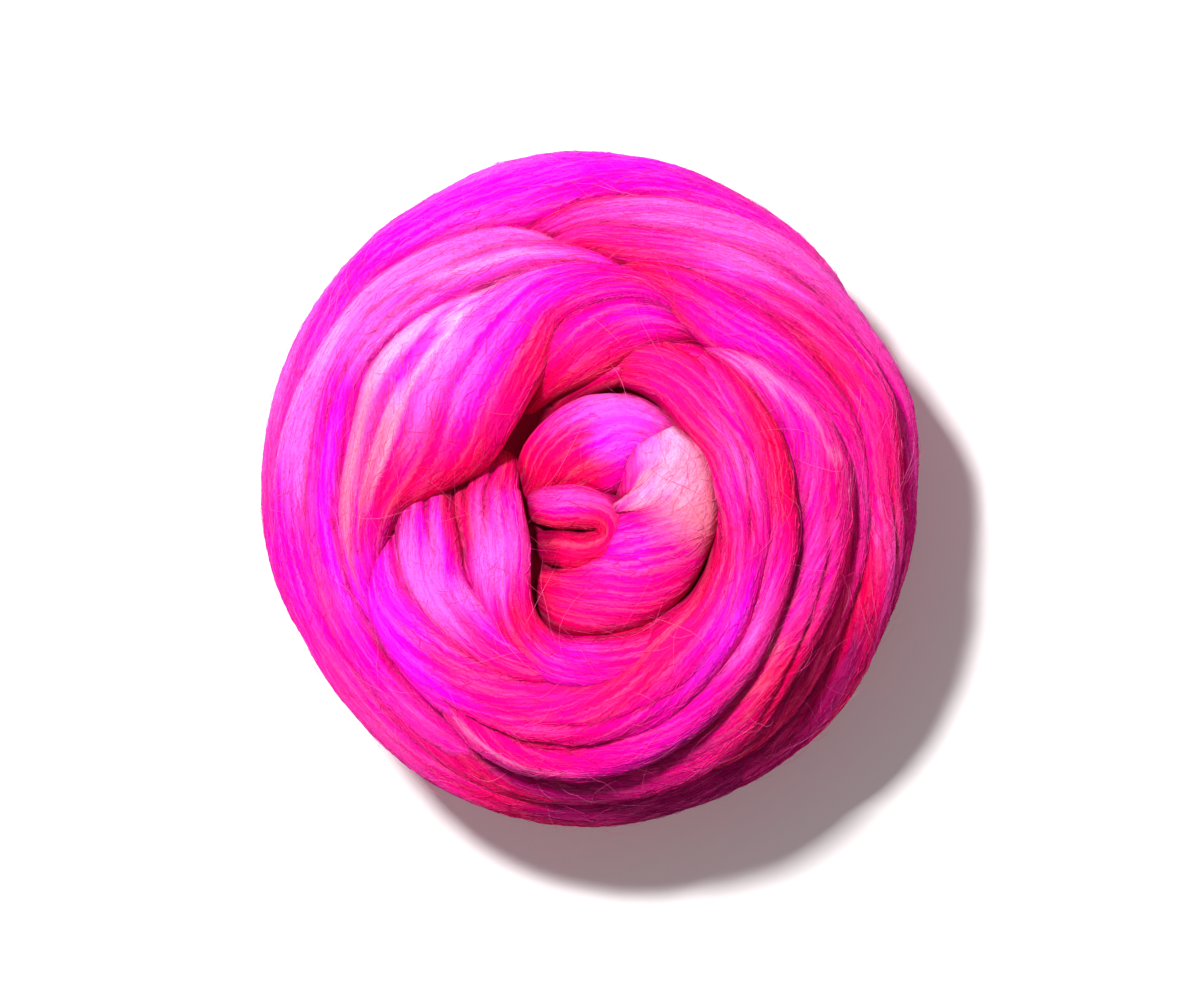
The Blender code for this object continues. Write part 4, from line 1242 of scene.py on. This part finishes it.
def lying_fibres(lap, index, surface, colours, tree, tuft, cover):
    """Paths, upward directions, thickness and colours of the fibres that lie on a lap."""
    random = np.random.default_rng(FIBRE_SEED_STEP * tuft.points + index)
    along, around, row, column = open_places(surface, tree, cover, random)
    count = len(along)
    slant = np.interp(along, surface.along, lay_slant(lap, surface.along)) \
        + random.normal(0.0, tuft.fan, count)
    length = random.uniform(*FIBRE_LENGTHS, count) * tuft.length \
        * (1.0 - SHORTER_ACROSS * np.abs(np.sin(slant)))
    share = np.linspace(0.0, 1.0, tuft.points)
    reach = (share - 0.5) * length[:, None]
    wave = random.uniform(*WAVE_SIZES, (count, 1)) * tuft.wave * np.sin(
        reach / (random.uniform(*WAVE_RUNS, (count, 1)) * tuft.wave_run)
        + random.uniform(0.0, FULL_TURN, (count, 1)))
    path_places = grid_places(surface, *map_paths(along, around, slant, reach, wave))
    paths = between(surface.points, *path_places)
    up = between(surface.normals, *path_places)
    middle = np.sin(math.pi * share)
    stand = random.uniform(*STAND_SIZES, (count, 1)) * tuft.stand
    lift = -FIBRE_DIP + (FIBRE_DIP + stand) * np.sqrt(middle)
    paths = paths + up * (lift * MM)[..., None]
    paths[..., 2] = np.maximum(paths[..., 2], 0.0)
    thickness = tapered(random.uniform(*FIBRE_GIRTHS, (count, 1)),
                        np.sqrt(np.clip(middle, 0.0, 1.0)))
    # The fibre takes the colour of the lap under it, dye with its painted crease shade
    tint = between(colours, row, column)
    lighter = random.uniform(-1.0, 1.0, count)
    paleness = np.clip(PALE_START + tint[:, 1] / PALE_GREEN, 0.0, 1.0)
    tint = mixed(tint, np.array(PALE_FIBRE), tuft.light * paleness * np.clip(lighter, 0.0, 1.0))
    tint = tint * (1.0 + DEEP_SHARE * np.clip(lighter, -1.0, 0.0))[:, None]
    return paths, up, thickness, tint


def stray_fibres(count, tree, shades):
    """Paths, upward directions, thickness and colours of loose fibres that bridge the creases."""
    random = np.random.default_rng(STRAY_SEED)
    out = STRAY_REACH * np.sqrt(random.uniform(0.0, 1.0, count))
    turn = random.uniform(0.0, FULL_TURN, count)
    heading = turn + 0.5 * math.pi + random.normal(0.0, STRAY_FAN, count)
    length = random.uniform(*STRAY_LENGTH, count)
    step = np.linspace(-0.5, 0.5, STRAY_POINTS)
    share = step + 0.5
    reach = step * length[:, None]
    bow = random.normal(0.0, STRAY_BOW, (count, 1)) * length[:, None] * step ** 2
    wave = random.uniform(*STRAY_WAVES, (count, 1)) * np.sin(
        reach / random.uniform(*STRAY_WAVE_RUNS, (count, 1))
        + random.uniform(*STRAY_PHASES, (count, 1)))
    east, north = map_paths(out * np.cos(turn), out * np.sin(turn), heading, reach, bow + wave)
    above = skin_points(east, north, STRAY_START) * MM
    below = skin_points(east, north, -STRAY_START) * MM
    down = unit(below - above)
    drop = distance_over(tree, above.reshape(-1, 3), down.reshape(-1, 3), 0.0, 2.0 * STRAY_START)
    level = STRAY_START - drop.reshape(count, STRAY_POINTS)
    chord = level[:, :1] * (1.0 - share) + level[:, -1:] * share
    arch = random.uniform(0.0, 1.0, (count, 1)) ** 2 * STRAY_ARCH * np.sin(math.pi * share)
    loose = random.uniform(0.0, 1.0, (count, 1)) ** 4 * STRAY_LOOSE * share ** 2
    paths = skin_points(east, north, np.maximum(level + STRAY_GAP, chord) + arch + loose) * MM
    paths[..., 2] = np.maximum(paths[..., 2], 0.0)
    thickness = tapered(random.uniform(*STRAY_GIRTHS, (count, 1)),
                        np.sin(math.pi * np.clip(share, STRAY_TIP, 1.0 - STRAY_TIP)))
    tint = mixed(np.broadcast_to(shade(shades, "pink"), (count, 3)), shade(shades, "pale"),
                 random.uniform(0.0, STRAY_PALE, count))
    return paths, -down, thickness, tint


def set_sockets(node, values):
    """Sets a node's own sockets."""
    for name, value in values.items():
        node.inputs[name].default_value = value


def add_maths(nodes, links, operation, first, second):
    """Two values of a material added or multiplied."""
    maths = nodes.new("ShaderNodeMath")
    maths.operation = operation
    links.new(first, maths.inputs[0])
    links.new(second, maths.inputs[1])
    return maths.outputs[0]


def noise_of(nodes, links, place, pattern):
    """A pattern's noise, stretched by its waves per metre."""
    stretch = nodes.new("ShaderNodeVectorMath")
    stretch.operation = "MULTIPLY"
    stretch.inputs[1].default_value = pattern.waves
    stretch.label = pattern.label
    noise = nodes.new("ShaderNodeTexNoise")
    set_sockets(noise, {"Scale": 1.0, "Detail": 3.0, "Roughness": 0.6,
                        "Distortion": pattern.distortion})
    links.new(place, stretch.inputs[0])
    links.new(stretch.outputs[0], noise.inputs["Vector"])
    return noise.outputs["Fac"]


def ranged(nodes, links, noise, pattern):
    """A pattern's noise spread over its range."""
    spread = nodes.new("ShaderNodeMapRange")
    set_sockets(spread, {"From Min": NOISE_SPREAD[0], "From Max": NOISE_SPREAD[1],
                         "To Min": pattern.low, "To Max": pattern.high})
    links.new(noise, spread.inputs["Value"])
    return spread.outputs["Result"]


def crimped(nodes, links, lay):
    """The lay with the small waves of the fibres across it."""
    aside = nodes.new("ShaderNodeCombineXYZ")
    moved = nodes.new("ShaderNodeVectorMath")
    moved.operation = "ADD"
    links.new(ranged(nodes, links, noise_of(nodes, links, lay, CRIMP), CRIMP), aside.inputs["Y"])
    links.new(lay, moved.inputs[0])
    links.new(aside.outputs["Vector"], moved.inputs[1])
    return moved.outputs["Vector"]


def material_with_painted_shade(name, finish):
    """A material that takes its colour from the dye with its painted shade, with the node that
    sets that colour's tone.
    """
    material = bpy.data.materials.new(name)
    material.use_nodes = True
    nodes, links = material.node_tree.nodes, material.node_tree.links
    shader = nodes["Principled BSDF"]
    set_sockets(shader, finish)
    dye = nodes.new("ShaderNodeAttribute")
    dye.attribute_name = "dye"
    tone = nodes.new("ShaderNodeHueSaturation")
    links.new(dye.outputs["Color"], tone.inputs["Color"])
    links.new(tone.outputs["Color"], shader.inputs["Base Color"])
    return material, shader, tone


def lap_material():
    """Combed wool: the dye and its painted shade streaked along the lay, with the fine relief of
    its fibres.
    """
    material, shader, tone = material_with_painted_shade("combed_wool", WOOL_FINISH)
    nodes, links = material.node_tree.nodes, material.node_tree.links
    lay = nodes.new("ShaderNodeUVMap")
    lay.uv_map = "lay"
    wavy = crimped(nodes, links, lay.outputs["UV"])
    broad, fine, grain = (noise_of(nodes, links, wavy, part) for part in (BROAD, FINE, GRAIN))
    light = add_maths(nodes, links, "MULTIPLY", ranged(nodes, links, fine, FINE),
                      ranged(nodes, links, grain, GRAIN))
    links.new(ranged(nodes, links, broad, BROAD), tone.inputs["Saturation"])
    links.new(light, tone.inputs["Value"])
    bump = nodes.new("ShaderNodeBump")
    set_sockets(bump, {"Strength": BUMP_STRENGTH, "Distance": BUMP_DISTANCE})
    links.new(add_maths(nodes, links, "ADD", grain, fine), bump.inputs["Height"])
    links.new(bump.outputs["Normal"], shader.inputs["Normal"])
    return material


def fibre_material():
    """A single fibre: its colour, dye with any painted shade of the lap under it, a little uneven
    along its length.
    """
    material, _, tone = material_with_painted_shade("wool_fibre", FIBRE_FINISH)
    nodes, links = material.node_tree.nodes, material.node_tree.links
    place = nodes.new("ShaderNodeTexCoord")
    uneven = noise_of(nodes, links, place.outputs["Object"], UNEVEN)
    links.new(ranged(nodes, links, uneven, UNEVEN), tone.inputs["Value"])
    return material


class ROVING_OT_inner_mass(bpy.types.Operator):
    """Add the wound mass under the laps"""
    bl_idname = "roving.inner_mass"
    bl_label = "Wound mass"

    def execute(self, context):
        bpy.ops.object.select_all(action="DESELECT")
        bpy.ops.mesh.primitive_uv_sphere_add(
            segments=MASS_SEGMENTS, ring_count=MASS_RINGS, radius=WAIST_RADIUS * MM)
        mass = context.object
        mass.name = mass.data.name = "wound_mass"
        places = point_places(mass) / (WAIST_RADIUS * MM)
        out = np.arccos(np.clip(places[:, 2], -1.0, 1.0)) / math.pi * FULL_REACH
        angle = np.arctan2(places[:, 1], places[:, 0])
        depth = MASS_DEPTH + HOLLOW_DEPTH * np.exp(-(out / HOLLOW_RADIUS) ** 2)
        depth *= np.minimum(1.0, MASS_TAPER * (1.0 - out / FULL_REACH))
        points = skin_points(out * np.cos(angle), out * np.sin(angle), -depth) * MM
        points[:, 2] = np.maximum(points[:, 2], 0.0)
        mass.data.vertices.foreach_set("co", points.ravel())
        # Painted shade: the wound mass is coloured the dark red of the creases
        colours = np.broadcast_to(shade(context.scene.roving_shades, "deep"), (len(points), 3))
        colour_points(mass, colours)
        mass.data.uv_layers[0].name = "lay"
        mass.data.shade_smooth()
        finish_piece(mass, lap_material())
        return {"FINISHED"}


class ROVING_OT_laps(bpy.types.Operator):
    """Add every lap of the wound band, parted into locks, dyed and darkened with painted shade in
    its creases
    """
    bl_idname = "roving.laps"
    bl_label = "Laps"

    def execute(self, context):
        wool, shades = context.scene.roving_wool, context.scene.roving_shades
        tree = wool_cover(wool)
        material = lap_material()
        for index, lap, surface in surfaces(wool):
            colours = dyed_with_painted_shade(lap, index, surface, shades, tree)
            add_lap(lap, surface, colours, material)
        return {"FINISHED"}


class ROVING_OT_fibres(bpy.types.Operator):
    """Lay fibres over the laps"""
    bl_idname = "roving.fibres"
    bl_label = "Fibres"

    def execute(self, context):
        wool, shades = context.scene.roving_wool, context.scene.roving_shades
        tree = wool_cover(wool)
        material = fibre_material()
        groups = sorted(set(FIBRE_GROUPS.values())) + [LOWER]
        combed, ruffled = {group: [] for group in groups}, {group: [] for group in groups}
        for index, lap, surface in surfaces(wool):
            group = FIBRE_GROUPS.get(lap.name, LOWER)
            share = wool.lower_share if group == LOWER else 1.0
            colours = dyed_with_painted_shade(lap, index, surface, shades, tree)
            for tuft, cover, rows in ((COMBED, wool.combed_cover, combed),
                                      (RUFFLED, wool.ruffled_cover, ruffled)):
                rows[group].append(
                    lying_fibres(lap, index, surface, colours, tree, tuft, share * cover))
        for kind, rows, radius in (("combed", combed, wool.combed_radius),
                                   ("ruffled", ruffled, wool.ruffled_radius)):
            for group in groups:
                paths, up, thickness, tint = (np.concatenate(part) for part in zip(*rows[group]))
                add_fibres(f"{kind}_{group}", paths, up, thickness * radius, tint, material)
        paths, up, thickness, tint = stray_fibres(wool.stray_count, tree, shades)
        add_fibres("loose", paths, up, thickness * wool.stray_radius, tint, material)
        return {"FINISHED"}


class ROVING_OT_stage(bpy.types.Operator):
    """Add the plain floor, the light and the camera"""
    bl_idname = "roving.stage"
    bl_label = "Stage"

    def execute(self, context):
        stage = context.scene.roving_stage
        bpy.ops.object.select_all(action="DESELECT")
        bpy.ops.mesh.primitive_plane_add(size=FLOOR_SIZE)
        floor = context.object
        floor.name = "floor"
        paint = bpy.data.materials.new("pale_floor")
        paint.use_nodes = True
        set_sockets(paint.node_tree.nodes["Principled BSDF"],
                    {"Base Color": (*stage.floor_colour, 1.0), **FLOOR_FINISH})
        floor.data.materials.append(paint)
        bpy.ops.object.light_add(type="AREA", location=KEY_PLACE)
        key = context.object
        key.name = "key"
        key.data.size = KEY_SIZE
        key.data.energy = stage.key_power
        towards = Vector(KEY_PLACE) - Vector((0.0, 0.0, KEY_TARGET_HEIGHT))
        key.rotation_euler = towards.to_track_quat("Z", "Y").to_euler()
        room = bpy.data.worlds.new("soft_room")
        room.use_nodes = True
        set_sockets(room.node_tree.nodes["Background"],
                    {"Color": ROOM_COLOUR, "Strength": stage.fill_strength})
        context.scene.world = room
        bpy.ops.object.camera_add(location=(CAMERA_X, CAMERA_Y, stage.camera_height))
        camera = context.object
        camera.name = "camera"
        camera.data.lens = stage.lens
        camera.data.sensor_width = SENSOR_WIDTH
        camera.data.dof.use_dof = False
        context.scene.camera = camera
        context.scene.view_settings.view_transform = "Standard"
        return {"FINISHED"}


class VIEW3D_PT_roving(bpy.types.Panel):
    """The ball's sizes, shades and pieces."""
    bl_label = "Ball of roving"
    bl_space_type = "VIEW_3D"
    bl_region_type = "UI"
    bl_category = "Roving"

    def draw(self, context):
        layout = self.layout
        for group in (context.scene.roving_wool, context.scene.roving_shades,
                      context.scene.roving_stage):
            for name in group.__annotations__:
                layout.prop(group, name)
        for operator in STEPS:
            layout.operator(operator.bl_idname)


STEPS = (ROVING_OT_inner_mass, ROVING_OT_laps, ROVING_OT_fibres, ROVING_OT_stage)
CLASSES = (RovingWool, RovingShades, RovingStage, *STEPS, VIEW3D_PT_roving)


def register():
    """Registers the groups, the operators and the panel."""
    for kind in CLASSES:
        bpy.utils.register_class(kind)
    bpy.types.Scene.roving_wool = bpy.props.PointerProperty(type=RovingWool)
    bpy.types.Scene.roving_shades = bpy.props.PointerProperty(type=RovingShades)
    bpy.types.Scene.roving_stage = bpy.props.PointerProperty(type=RovingStage)


def unregister():
    """Takes them away again."""
    del bpy.types.Scene.roving_stage
    del bpy.types.Scene.roving_shades
    del bpy.types.Scene.roving_wool
    for kind in reversed(CLASSES):
        bpy.utils.unregister_class(kind)


def main():
    """Registers the add-on and makes the whole ball: its stage, its wound mass, its laps and its
    fibres.
    """
    register()
    bpy.ops.roving.stage()
    bpy.ops.roving.inner_mass()
    bpy.ops.roving.laps()
    bpy.ops.roving.fibres()


if __name__ == "__main__":
    main()
